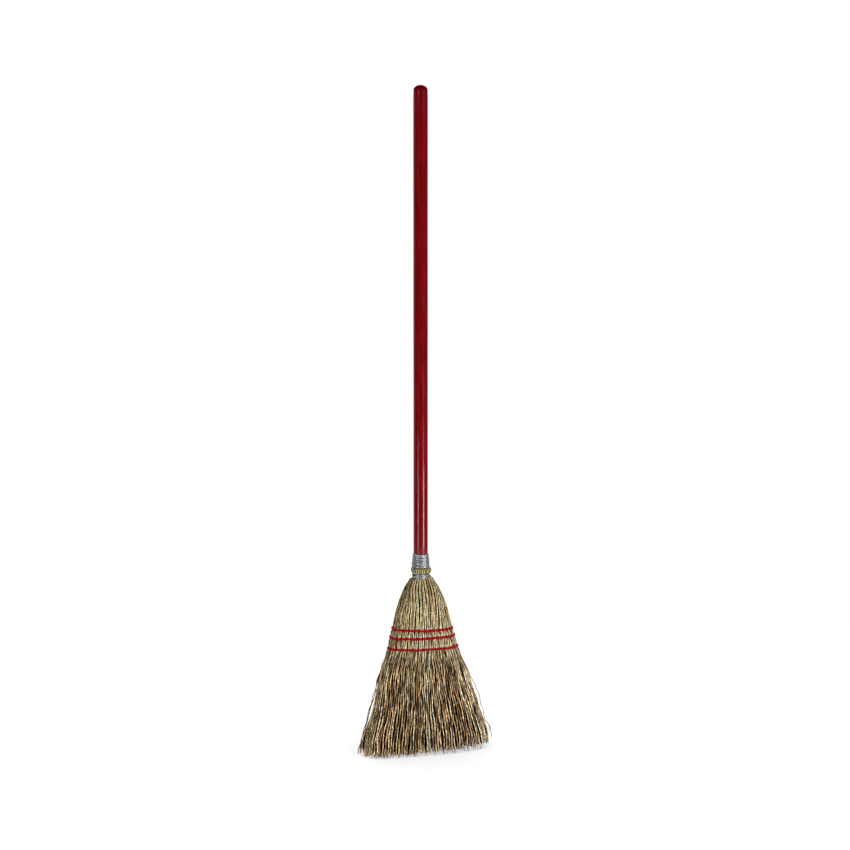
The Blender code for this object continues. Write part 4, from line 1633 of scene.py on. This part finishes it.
@dataclass
class CoreBunch:
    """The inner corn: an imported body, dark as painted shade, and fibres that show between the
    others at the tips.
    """

    head: Head
    seed: int = 5
    body_sides: int = 64
    # Tone of the body, dark as painted shade behind the outer straws
    body_shade_tone: float = 0.14
    body_inset: float = 0.0052
    # Heights and depths of the body's sections at both ends, and the heights between them
    upper_end: tuple[Span, ...] = (
        (0.2790, 0.0140),
        (0.2765, 0.0075),
        (0.2700, 0.0040),
        (0.2640, 0.0036),
        (0.2600, 0.0042),
        (0.2540, 0.0050),
    )
    even_heights: tuple[float, ...] = (
        0.2460, 0.2380, 0.2280, 0.2150, 0.2000, 0.1850, 0.1700,
        0.1540, 0.1350, 0.1150, 0.0950, 0.0750, 0.0550,
    )
    lower_end: tuple[Span, ...] = ((0.0400, 0.0085), (0.0300, 0.0240))
    fibre_count: int = 900
    fibre_half_width: float = 0.00075
    fibre_rings: int = 8
    last_ring: float = 0.97
    # Least depth of the fibres, what others have over it, and what they lose of it higher up
    depth: float = 0.0036
    depth_spread: float = 0.0290
    rise: float = 0.45
    rise_heights: Span = (0.0, 0.08)
    tops: Span = (0.070, 0.085)
    tip_scatter: float = 0.0022
    least_tip: float = 0.0018
    wander: Waves = Waves(0.0016, (0.03, 0.09))
    heave: Waves = Waves(0.0010, (0.03, 0.09))
    girths: Span = (0.7, 1.3)
    end_width: float = 0.4
    flatness: float = 0.85
    tones: Span = (0.05, 0.62)

    def body(self) -> Mesh:
        """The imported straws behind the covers, drawn in at both ends.

        Returns:
            The mesh.
        """
        even = ((height, self.body_inset) for height in self.even_heights)
        heights, insets = np.array((*self.upper_end, *even, *self.lower_end)).T
        centre, width, depth = self.head.section(heights)
        template = StrawTemplate(self.body_sides, np.linspace(0, 1, heights.size))
        mesh, _ = template.repeated(1, "core_body")
        local = read_points(mesh)
        ring = np.rint(local[:, 2] * (heights.size - 1)).astype(int)
        half_width = np.maximum(width - insets, LEAST_RADIUS)[ring]
        half_width = half_width - self.head.trim(local[:, 0], heights[ring])
        half_width = np.maximum(half_width, LEAST_RADIUS)
        half_depth = np.maximum(depth - insets, LEAST_RADIUS)[ring]
        # The levels run downwards, so Y is turned round to keep the faces outwards
        x, y = centre[ring] + half_width * local[:, 0], -half_depth * local[:, 1]
        mesh.vertices.foreach_set("co", np.stack((x, y, heights[ring]), axis=-1).ravel())
        store(mesh, "tone", np.full(len(mesh.vertices), self.body_shade_tone))
        mesh.shade_smooth()
        return mesh

    def fibres(self, levels: Array) -> Straws:
        """Lay out the inner fibres, spread over the whole sweeping end.

        Args:
            levels: The template's levels.

        Returns:
            The paths.
        """
        rng = np.random.default_rng(self.seed)
        each = (self.fibre_count, 1)
        share = rng.uniform(0, 1, each)
        depth = self.depth + self.depth_spread * rng.uniform(0, 1, each)
        top = rng.uniform(*self.tops, each)
        scatter = np.abs(rng.normal(0, self.tip_scatter, each))
        tip = scatter + self.least_tip + self.head.tip_lift(share)
        height = top + (tip - top) * levels
        share = share + self.wander.draw(rng, height) / self.head.girth(height)
        down = 1 - self.rise * eased(height, *self.rise_heights)
        inset = depth * down + self.heave.draw(rng, height)
        width = self.fibre_half_width * rng.uniform(*self.girths, each)
        width = width * np.where(levels > self.last_ring, self.end_width, 1.0)
        tone = rng.uniform(*self.tones, self.fibre_count)
        return Straws(share, inset, height, width, self.flatness * width, tone)

    def build(self, inner: Material, finish: Material) -> None:
        """Make the core's pieces.

        Args:
            inner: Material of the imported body.
            finish: The corn's material.
        """
        show(self.body(), inner, Slot.CORN, "core_bunch")
        levels = fibre_levels(self.fibre_rings, self.last_ring)
        template = StrawTemplate(FIBRE_SIDES, levels)
        mesh = template.laid(self.fibres(levels), self.head, "core_fibres")
        show(mesh, finish, Slot.CORN, "core_bunch")


# Wire, twine and handle


def tubes(name: str, splines: Sequence[Tube], resolution: int) -> Mesh:
    """Sweep round sections along paths and merge them into one mesh.

    Args:
        name: The mesh's name.
        splines: For each tube its points, its radius, and True where it closes on itself.
        resolution: Fineness of the round section.

    Returns:
        The mesh.
    """
    curve = bpy.data.curves.new(name, "CURVE")
    curve.dimensions = "3D"
    curve.bevel_depth = 1.0
    curve.bevel_resolution = resolution
    curve.use_fill_caps = True
    for points, radius, closed in splines:
        spline = curve.splines.new("POLY")
        spline.points.add(len(points) - 1)
        for target, point in zip(spline.points, points):
            target.co = (*point, 1.0)
            target.radius = radius
        spline.use_cyclic_u = closed
    guide = bpy.data.objects.new(name + "_guide", curve)
    bpy.context.scene.collection.objects.link(guide)
    depsgraph = bpy.context.evaluated_depsgraph_get()
    mesh = bpy.data.meshes.new_from_object(guide.evaluated_get(depsgraph))
    bpy.data.objects.remove(guide)
    bpy.data.curves.remove(curve)
    bm = bmesh.new()
    bm.from_mesh(mesh)
    finish_mesh(bm, mesh)
    mesh.name = name
    return mesh


def finish_mesh(bm: bmesh.types.BMesh, mesh: Mesh) -> None:
    """Merge doubles, turn the faces outwards and write a mesh.

    Args:
        bm: The shape, freed afterwards.
        mesh: The mesh that it is written to.
    """
    bmesh.ops.remove_doubles(bm, verts=bm.verts, dist=MERGE_DISTANCE)
    bmesh.ops.recalc_face_normals(bm, faces=bm.faces)
    bm.to_mesh(mesh)
    bm.free()
    mesh.shade_smooth()


@dataclass
class BindingWire:
    """The wire from its tucked start, over the butts, to its end on the handle."""

    head: Head
    half_thickness: float = 0.00090
    fineness: int = 3
    points_per_turn: int = 40
    crossing_steps: int = 40
    riding_samples: int = 41
    # Parts of the crossing's climb, and where each starts and ends along it
    climbs: tuple[Point, ...] = ((0.45, 0.25, 0.80), (0.55, 0.66, 0.84))
    bend_radius: float = 0.0014
    bend_steps: int = 4
    stub: float = 0.0018
    unevenness: Waves = Waves(0.00012, (0.6, 2.4))
    # Painted shade of the turns, darker on every other one, how many more than the upper ones
    # get one, and on the crossing, then how far under the top the wire gets a painted highlight
    turn_shades: Span = (0.5, 1.0)
    turns_below: int = 15
    turns_above: int = 5
    crossing_shade: float = 0.25
    top_highlight: Span = (0.0024, 0.0012)
    seed: int = 3

    def corn_radius(self, height: float) -> float:
        """Radius of what the wire lies on.

        Args:
            height: Height over the floor.

        Returns:
            The radius.
        """
        if height > self.head.neck.butt_top:
            return self.head.neck.handle_radius
        return float(self.head.section(height)[1])

    def riding_radius(self, height: float) -> float:
        """Radius at which the wire's centre clears the neck, also beside a bulge.

        Args:
            height: Height over the floor.

        Returns:
            The radius.
        """
        reach = self.head.neck.wire_diameter / 2 + self.head.neck.clearance
        return max(
            self.corn_radius(height + offset) + math.sqrt(max(reach**2 - offset**2, 0.0))
            for offset in np.linspace(-reach, reach, self.riding_samples)
        )

    def polar(self, angle: float, radius: float, height: float) -> Vector:
        """Point round the handle's axis, its angle counted from -Y towards +X."""
        x = self.head.neck.handle_x + radius * math.sin(angle)
        return Vector((x, -radius * math.cos(angle), height))

    def helix(self, start: float, turns: float, low: float, rng: Rng) -> list[Vector]:
        """Points of a winding that climbs as its angle falls.

        Args:
            start: Angle at its lower end.
            turns: Number of turns.
            low: Height of its lower end.
            rng: Source of chance.

        Returns:
            The points.
        """
        steps = round(turns * self.points_per_turn)
        sway = self.unevenness.draw(rng, np.linspace(0, turns, steps + 1)[None, :])[0]
        points = []
        for step in range(steps + 1):
            share = step / steps
            height = low + turns * self.head.neck.pitch * share
            radius = self.riding_radius(height) + max(0.0, float(sway[step]))
            points.append(self.polar(start - turns * FULL_TURN * share, radius, height))
        return points

    def crossing(self, low: float, high: float) -> list[Vector]:
        """Points of the stretch that climbs over the bulging butts.

        Args:
            low: Height at which it starts.
            high: Height at which it ends.

        Returns:
            The points.
        """
        neck = self.head.neck
        points = []
        for step in range(1, self.crossing_steps):
            share = step / self.crossing_steps
            climb = sum(part * float(eased(share, start, end)) for part, start, end in self.climbs)
            height = low + (high - low) * climb
            angle = neck.crossing_start - neck.crossing_span * share
            points.append(self.polar(angle, self.riding_radius(height), height))
        return points

    def tucked_end(self, angle: float, height: float, direction: int) -> list[Vector]:
        """Points that turn from the winding in towards the axis.

        Args:
            angle: Angle at the winding's end.
            height: Its height.
            direction: 1 where the angle grows past the end, -1 where it falls.

        Returns:
            The points.
        """
        bend, radius = self.bend_radius, self.riding_radius(height)
        inner = radius - bend
        points = []
        for step in range(1, self.bend_steps + 1):
            turn = step / self.bend_steps * math.pi / 2
            along = direction * bend * math.sin(turn)
            points.append(self.polar(angle + along / radius, inner + bend * math.cos(turn), height))
        points.append(self.polar(angle + direction * bend / radius, inner - self.stub, height))
        return points

    def path(self) -> list[Vector]:
        """The whole wire's centre line.

        Returns:
            The points.
        """
        neck = self.head.neck
        rng = np.random.default_rng(self.seed)
        half = neck.wire_diameter / 2
        low, band_high = neck.band_low + half, neck.band_top - half
        upper_low, top = neck.upper_low + half, neck.winding_top - half
        start = neck.crossing_start + neck.lower_turns * FULL_TURN
        first = self.tucked_end(start, low, 1)
        last = self.tucked_end(neck.crossing_end - neck.upper_turns * FULL_TURN, top, -1)
        lower = self.helix(start, neck.lower_turns, low, rng)
        upper = self.helix(neck.crossing_end, neck.upper_turns, upper_low, rng)
        return first[::-1] + lower + self.crossing(band_high, upper_low) + upper + last

    def mark_turns(self, mesh: Mesh) -> None:
        """Store painted shade for each turn, darker on every other one and on the crossing, with a
        painted highlight at the top.

        Args:
            mesh: The wire's mesh.
        """
        neck = self.head.neck
        x, y, height = read_points(mesh).T
        angle = np.arctan2(x - neck.handle_x, -y)
        part = (neck.crossing_end - angle) / FULL_TURN % 1
        climbed = (height - neck.upper_low - neck.wire_diameter / 2) / neck.pitch
        turn = np.rint(climbed - part) + part
        numbers = np.arange(self.turns_below + neck.upper_whole_turns + self.turns_above)
        drawn = np.random.default_rng(self.seed).uniform(*self.turn_shades, numbers.size)
        shades = np.interp(turn + self.turns_below, numbers, drawn * (-1.0) ** numbers)
        starts, ends = (neck.winding_top - drop for drop in self.top_highlight)
        shade = np.maximum(0.5 + 0.5 * shades, eased(height, starts, ends))
        between = (height > neck.band_top) & (height < neck.upper_low)
        store(mesh, "turn", np.where(between, self.crossing_shade, shade))

    def build(self, finish: Material) -> None:
        """Make the wire.

        Args:
            finish: The wire's material.
        """
        spline = (self.path(), self.half_thickness, False)
        mesh = tubes("binding_wire_turns", (spline,), self.fineness)
        self.mark_turns(mesh)
        show(mesh, finish, Slot.WIRE, "binding_wire")


@dataclass
class SewnRow:
    """One row: twisted twine round the head, and a small stitch over it at each notch."""

    head: Head
    index: int
    node: str
    stand_off: float = 0.0015
    fineness: int = 1
    ply_radius: float = 0.00100
    ply_offset: float = 0.00060
    plies: int = 3
    twist_length: float = 0.0078
    points_per_twist: int = 9
    # How the twine sags and stands out between stitches, and sinks at the edges
    sag: float = 0.0005
    bulge: float = 0.00035
    edge_inset: float = 0.0007
    ripple: float = 0.0003
    ripples: int = 5
    left_rise: Rise = Rise(0.0011, 0.5, 0.010)
    # A stitch: its sizes, and how far round it goes as a share of half a turn
    stitch_radius: float = 0.00056
    stitch_points: int = 9
    stitch_length: float = 0.0012
    stitch_height: float = 0.00155
    stitch_depth: float = 0.0004
    stitch_rise: float = 0.00175
    stitch_wrap: float = 1.35

    def ring_point(self, share: Array) -> Arrays:
        """Centre line of the row's twine.

        Args:
            share: Places round the head.

        Returns:
            Points, unit vectors round the head and unit vectors out of it.
        """
        head, turn = self.head, share * FULL_TURN
        between = np.cos(head.off_bundle(self.index, share) * FULL_TURN)
        ripple = self.ripple * np.sin(turn * self.ripples + self.index)
        height = head.rows[self.index] + self.sag * 0.5 * between + ripple
        height = height - head.droop(self.index, share) + self.left_rise.at(share)
        inset = -self.stand_off + head.row_pinch - self.bulge * between
        return head.place(share, inset + self.edge_inset * np.cos(turn) ** 2, height)

    def plies_round(self) -> list[Tube]:
        """The twisted plies, each a closed loop round the head.

        Returns:
            The tubes.
        """
        girth = float(self.head.girth(self.head.rows[self.index]))
        twists = round(girth / self.twist_length)
        share = np.linspace(0, 1, twists * self.points_per_twist, endpoint=False)
        points, _, outward = self.ring_point(share)
        splines = []
        for ply in range(self.plies):
            turn = FULL_TURN * (share * twists + ply / self.plies)
            path = points + outward * (self.ply_offset * np.cos(turn))[:, None]
            path[:, 2] += self.ply_offset * np.sin(turn)
            splines.append(([Vector(point) for point in path], self.ply_radius, True))
        return splines

    def stitches(self) -> list[Tube]:
        """Small slanted stitches over the twine, with both ends in the corn.

        Returns:
            The tubes.
        """
        head = self.head
        share = (np.arange(head.bundles) - head.row_phases[self.index]) / head.bundles
        up = np.array((0, 0, 1))
        splines = []
        for point, sideways, out in zip(*self.ring_point(share % 1)):
            path = []
            for step in np.linspace(-0.5, 0.5, self.stitch_points):
                turn = math.pi * step * self.stitch_wrap
                sine, cosine = math.sin(turn), math.cos(turn)
                over = self.stitch_height * cosine - self.stitch_depth
                offset = sideways * self.stitch_length * sine + out * over
                path.append(Vector(point + offset + up * (self.stitch_rise * sine)))
            splines.append((path, self.stitch_radius, False))
        return splines

    def build(self, finish: Material) -> None:
        """Make the row."""
        splines = self.plies_round() + self.stitches()
        show(tubes(self.node + "_twine", splines, self.fineness), finish, Slot.TWINE, self.node)


@dataclass
class LinkTwine:
    """The short thread that runs from the middle row down to the lowest one."""

    head: Head
    radius: float = 0.00050
    fineness: int = 1
    points: int = 25
    plies: int = 2
    twists: int = 4
    ply_offset: float = 0.0002
    # Both ends as shares of the head's half width, and how far inside the rows they are
    shares: Span = (-0.765, -0.806)
    end_overlap: float = 0.0012
    stand_off: float = 0.0013
    shift_x: float = -0.0029
    shift_y: float = -0.0004

    def build(self, finish: Material) -> None:
        """Make the thread as two twisted plies.

        Args:
            finish: The twine's material.
        """
        run = np.linspace(0, 1, self.points)
        _, middle_row, low_row = self.head.rows
        height = (middle_row - self.end_overlap) * (1 - run) + (low_row + self.end_overlap) * run
        centre, width, depth = self.head.section(height)
        start, end = self.shares
        place = start * (1 - run) + end * run
        x = self.shift_x + centre + (width + self.stand_off) * place
        y = self.shift_y - (depth + self.stand_off) * np.sqrt(1 - place**2)
        splines = []
        for ply in range(self.plies):
            turn = FULL_TURN * (run * self.twists + ply / self.plies)
            aside, out = self.ply_offset * np.cos(turn), self.ply_offset * np.sin(turn)
            path = [Vector(point) for point in zip(x + aside, y + out, height)]
            splines.append((path, self.radius, False))
        show(tubes("link_thread", splines, self.fineness), finish, Slot.TWINE, "link_twine")


@dataclass
class Handle:
    """The turned stick with its domed top."""

    neck: Neck
    broom_height: float = 0.9885
    top_radius: float = 0.0103
    dome_height: float = 0.0075
    top_taper: float = 0.0100
    # How far under the wire the stick starts to narrow, and its radii there as shares
    tuck: float = 0.0020
    butt_share: float = 0.93
    neck_share: float = 0.885
    neck_drop: float = 0.0025
    end_height: float = 0.197
    end_share: float = 0.67
    end_rounding: float = 0.0040
    wobble: float = 0.00006
    wobble_waves: float = 17.0
    sides: int = 72
    dome_steps: int = 12
    body_steps: int = 24
    sharp_angle: float = math.radians(50)

    def profile(self) -> list[Span]:
        """Radii and heights from the dome's top down to the hidden end.

        Returns:
            The profile's points.
        """
        radius = self.neck.handle_radius
        dome_low = self.broom_height - self.dome_height
        profile = []
        for step in range(self.dome_steps + 1):
            angle = step / self.dome_steps * math.pi / 2
            height = dome_low + self.dome_height * math.cos(angle)
            profile.append((self.top_radius * math.sin(angle), height))
        body_top, body_low = dome_low - self.top_taper, self.neck.winding_top - self.tuck
        for step in range(self.body_steps + 1):
            share = step / self.body_steps
            wobble = self.wobble * math.sin(share * self.wobble_waves) * math.sin(share * math.pi)
            profile.append((radius + wobble, body_top + (body_low - body_top) * share))
        end = radius * self.end_share
        profile += [
            (radius * self.butt_share, self.neck.butt_top),
            (radius * self.neck_share, self.neck.shoulder_top - self.neck_drop),
            (end, self.end_height + self.end_rounding),
            (end - self.end_rounding / 2, self.end_height),
            (0.0, self.end_height),
        ]
        return profile

    def build(self, finish: Material) -> None:
        """Spin the profile into the stick.

        Args:
            finish: The stick's material.
        """
        bm = bmesh.new()
        x = self.neck.handle_x
        vertices = [bm.verts.new((x + radius, 0.0, height)) for radius, height in self.profile()]
        edges = [bm.edges.new(pair) for pair in zip(vertices, vertices[1:])]
        geometry, centre, axis = vertices + edges, (x, 0, 0), (0, 0, 1)
        bmesh.ops.spin(
            bm, geom=geometry, cent=centre, axis=axis, angle=FULL_TURN, steps=self.sides,
            use_merge=True,
        )
        mesh = bpy.data.meshes.new("handle_stick")
        finish_mesh(bm, mesh)
        mesh.set_sharp_from_angle(angle=self.sharp_angle)
        show(mesh, finish, Slot.LACQUER, "handle")


# Studio


@dataclass(frozen=True)
class Lamp:
    """A soft box."""

    name: str
    place: Point
    aim: Point
    size: Span
    power: float
    colour: Point = (1.0, 1.0, 1.0)

    def build(self) -> None:
        """Add the lamp."""
        data = bpy.data.lights.new(self.name, "AREA")
        data.shape = "RECTANGLE"
        data.size, data.size_y = self.size
        data.energy = self.power
        data.color = self.colour
        lamp = bpy.data.objects.new(self.name, data)
        lamp.location = self.place
        facing = Vector(self.place) - Vector(self.aim)
        lamp.rotation_euler = facing.to_track_quat("Z", "Y").to_euler()
        lamp.visible_camera = False
        bpy.context.scene.collection.objects.link(lamp)


@dataclass
class Studio:
    """Floor, background, lamps and the camera at the photograph's angle."""

    picture_size: int = 850
    focal_pixels: float = 2190.0
    sensor_width: float = 36.0
    camera_distance: float = 3.2
    camera_azimuth: float = math.radians(-15)
    camera_turn: float = 0.00037
    camera_height: float = 0.92
    camera_pitch: float = math.radians(7.6)
    floor_radius: float = 1.15
    floor_sides: int = 96
    floor_whites: Stops = ((0.0, (0.90, 0.90, 0.91, 1)), (1.0, (0.92, 0.92, 0.93, 1)))
    # Distance over which the floor turns white, then its glow and the glow's share at both ends
    glow_reach: Span = (0.065, 0.155)
    glow_strength: Span = (0.87, 1.06)
    glow_share: Span = (0.62, 1.0)
    ambient: float = 0.50
    # How far behind the broom gloss starts to see a white background, and sees it in full
    white_behind: Span = (0.10, 0.95)
    room: float = 0.04
    lamps: tuple[Lamp, ...] = (
        Lamp("key_box", (2.0, -2.5, 2.1), (0, 0, 0.30), (1.5, 1.5), 64.0),
        Lamp("fill_box", (-2.6, -1.9, 2.0), (0, 0, 0.30), (1.5, 1.5), 28.0),
        Lamp("top_box", (0.2, 0.3, 2.9), (0, 0, 0), (2.2, 2.2), 48.0),
        Lamp("right_strip", (0.66, -1.0, 0.12), (0, 0, 0.30), (0.30, 0.24), 9.0, COOL_WHITE),
        Lamp("left_strip", (-1.00, -0.68, 0.12), (0, 0, 0.30), (0.09, 0.24), 3.4, COOL_WHITE),
    )

    def camera(self) -> None:
        """Add the camera."""
        data = bpy.data.cameras.new("photo_camera")
        data.sensor_width = self.sensor_width
        data.lens = self.focal_pixels / self.picture_size * self.sensor_width
        camera = bpy.data.objects.new("photo_camera", data)
        azimuth = self.camera_azimuth
        camera.location = (
            self.camera_distance * math.sin(azimuth),
            -self.camera_distance * math.cos(azimuth),
            self.camera_height,
        )
        level = math.pi / 2
        camera.rotation_euler = (level - self.camera_pitch, 0, azimuth + self.camera_turn)
        bpy.context.scene.collection.objects.link(camera)
        bpy.context.scene.camera = camera

    def floor_finish(self) -> Material:
        """Make the floor's material: clear from below, with a white glow for the camera alone.

        Returns:
            The material.
        """
        board = Finish("studio_floor")
        white = board.ramp(board.noise(board.stretched(), 40.0), self.floor_whites)
        board.finish(Base_Color=white, Roughness=0.9, Specular_IOR_Level=0.1)
        reach = board.add("ShaderNodeVectorMath", operation="LENGTH")
        board.join(board.coordinates(), reach.inputs[0])
        far = board.span(reach.outputs["Value"], self.glow_reach)
        strength, share = (
            board.span(far, (0.0, 1.0), ends, "LINEAR")
            for ends in (self.glow_strength, self.glow_share)
        )
        glow = board.add("ShaderNodeEmission")
        board.join(strength, glow.inputs["Strength"])
        rays = board.add("ShaderNodeLightPath").outputs
        share = board.math("MULTIPLY", rays["Is Camera Ray"], share)
        lit = board.mixed(share, board.shader.outputs[0], glow.outputs[0])
        below = board.add("ShaderNodeNewGeometry").outputs["Backfacing"]
        clear = board.add("ShaderNodeBsdfTransparent").outputs[0]
        output = board.tree.nodes["Material Output"]
        board.join(board.mixed(below, lit, clear), output.inputs["Surface"])
        return board.material

    def floor(self) -> None:
        """Add the pale floor, which keeps the broom's shadow."""
        bm = bmesh.new()
        bmesh.ops.create_circle(
            bm, cap_ends=True, segments=self.floor_sides, radius=self.floor_radius
        )
        mesh = bpy.data.meshes.new("studio_floor")
        bm.to_mesh(mesh)
        bm.free()
        mesh.materials.append(self.floor_finish())
        floor = bpy.data.objects.new("studio_floor", mesh)
        bpy.context.scene.collection.objects.link(floor)

    def background(self) -> None:
        """Set the world: white to the camera and in gloss behind the broom, plain elsewhere."""
        world = bpy.data.worlds.new("studio")
        world.use_nodes = True
        board = NodeBoard(world.node_tree)
        lit = board.tree.nodes["Background"]
        lit.inputs["Color"].default_value = WHITE
        lit.inputs["Strength"].default_value = self.ambient
        seen = board.add("ShaderNodeBackground")
        seen.inputs["Color"].default_value = WHITE
        split = board.add("ShaderNodeSeparateXYZ")
        board.join(board.add("ShaderNodeTexCoord").outputs["Generated"], split.inputs[0])
        behind = board.span(split.outputs["Y"], self.white_behind, (self.room, 1.0))
        rays = board.add("ShaderNodeLightPath").outputs
        camera, glossy, through = (
            rays[f"Is {kind} Ray"] for kind in ("Camera", "Glossy", "Transmission")
        )
        board.join(board.math("MAXIMUM", camera, behind), seen.inputs["Strength"])
        shown = board.math("MAXIMUM", camera, board.math("MAXIMUM", glossy, through))
        output = board.tree.nodes["World Output"]
        board.join(board.mixed(shown, lit.outputs[0], seen.outputs[0]), output.inputs["Surface"])
        bpy.context.scene.world = world

    def build(self) -> None:
        """Set up the whole studio."""
        bpy.context.scene.view_settings.view_transform = "Standard"
        self.camera()
        self.floor()
        self.background()
        for lamp in self.lamps:
            lamp.build()


# Assembly


def fibre_layers(outer: int, inner: int, dark: Span) -> tuple[FibreLayer, ...]:
    """Describe a bunch's fibres: clusters, the ones in their gaps, and loose ones behind both.

    Args:
        outer: Number of fibres in each of the two outer layers.
        inner: Number of fibres in the layer behind them.
        dark: Share of dark clusters in both outer layers.

    Returns:
        The layers.
    """
    # The second and third layers lie in the gaps and behind; their many dark tones are painted
    # shade
    return (
        FibreLayer(outer, 0.00066, (0.34, 1.0), 0.0003, dark[0], 0.0002, pull=0.84, shade_patches=0.78),
        FibreLayer(outer, 0.00064, (0.24, 1.0), 0.0006, dark[1], 0.0012, pull=0.30, shift=0.5),
        FibreLayer(inner, 0.00070, (0.10, 0.9), 0.0013, 0.65, 0.0030, lift=0.0060, singles=0.0),
    )


def covers(head: Head, place: Place, node: str, seed: int) -> CornBunch:
    """Describe the front or back bunch.

    Args:
        head: The head that it lies on.
        place: Its side of the head.
        node: Its CAD node.
        seed: Start of its random draws.

    Returns:
        The bunch.
    """
    # Most stalks behind the outer layer have dark tones, as painted shade in the gaps
    stalks = (
        StalkLayer(28, 0.00098, (0.34, 1.0), 0.0006, 0.0),
        StalkLayer(28, 0.00086, (0.24, 1.0), 0.0007, 0.85, 0.0012, 0.0009, shift=0.5),
        StalkLayer(18, 0.00080, (0.08, 0.45), 0.0011, 0.6, 0.0022, 0.0026, from_butts=False),
    )
    fibres = fibre_layers(100, 140, (0.0, 0.85))
    return CornBunch(head, place, node, 0.25, 0.185, stalks, fibres, seed)


def shoulders(head: Head, place: Place, node: str, seed: int) -> CornBunch:
    """Describe the bunch at the left or right edge.

    Args:
        head: The head that it lies on.
        place: Its side of the head.
        node: Its CAD node.
        seed: Start of its random draws.

    Returns:
        The bunch.
    """
    # The stalks behind the outer layer often have dark tones, as painted shade in the gaps
    stalks = (
        StalkLayer(11, 0.00100, (0.34, 1.0), 0.0008, 0.16, 0.0016, 0.0002, from_butts=False),
        StalkLayer(11, 0.00090, (0.10, 0.7), 0.0011, 0.6, 0.0028, 0.0012, 0.5, from_butts=False),
        StalkLayer(18, 0.00052, (0.10, 0.9), 0.0034, 0.45, 0.0008, -0.0003, from_butts=False),
    )
    fibres = fibre_layers(40, 56, (0.02, 0.72))
    return CornBunch(head, place, node, 0.085, 0.074, stalks, fibres, seed)


def strays(head: Head, place: Place, node: str, seed: int) -> StrayStraws:
    """Describe the loose straws at the left or right edge.

    Args:
        head: The head that it lies on.
        place: Its side of the head.
        node: Its CAD node.
        seed: Start of its random draws.

    Returns:
        The straws.
    """
    left = (
        (0.138, 0.003, 0.0058, 0.28, 0.6),
        (0.130, 0.006, 0.0044, 0.16, 0.6),
        (0.118, 0.009, 0.0050, 0.38, 0.7),
        (0.022, 0.0006, 0.0026, 0.30, 0.0),
        (0.016, 0.0008, 0.0016, 0.36, 0.0),
    )
    right = (
        (0.132, 0.042, 0.0044, 0.30, 0.5),
        (0.050, 0.013, 0.0040, 0.22, 0.0),
        (0.046, 0.022, 0.0030, 0.30, 0.0),
    )
    return StrayStraws(head, place, node, left if place is Place.LEFT else right, seed)


def main() -> None:
    """Build every piece of the broom and the studio round it."""
    logging.basicConfig(level=logging.INFO, format="%(name)s: %(message)s")
    lacquer = LacqueredWood().build()
    corn = Broomcorn().build()
    # The core body's corn, darkened as painted shade
    inner = Broomcorn("inner_broomcorn", shade=0.35).build()
    steel = BrightWire().build()
    twine = RedTwine().build()

    neck = Neck()
    head = Head(neck)
    Handle(neck).build(lacquer)
    covers(head, Place.FRONT, "front_cover_bunch", 11).build(corn)
    covers(head, Place.BACK, "back_cover_bunch", 12).build(corn)
    shoulders(head, Place.LEFT, "left_shoulder_bunch", 13).build(corn)
    shoulders(head, Place.RIGHT, "right_shoulder_bunch", 14).build(corn)
    strays(head, Place.LEFT, "left_shoulder_bunch", 21).build(corn)
    strays(head, Place.RIGHT, "right_shoulder_bunch", 21).build(corn)
    CoreBunch(head).build(inner, corn)
    BindingWire(head).build(steel)
    for index, node in enumerate(("stitch_row_top", "stitch_row_middle", "stitch_row_low")):
        SewnRow(head, index, node).build(twine)
    LinkTwine(head).build(twine)
    for name in ("core_winding", "wire_end_tack"):
        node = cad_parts[name]
        node.data.materials.clear()
        node.data.materials.append(steel)
        log.info("%s: bright wire", name)
    Studio().build()


if __name__ == "__main__":
    main()
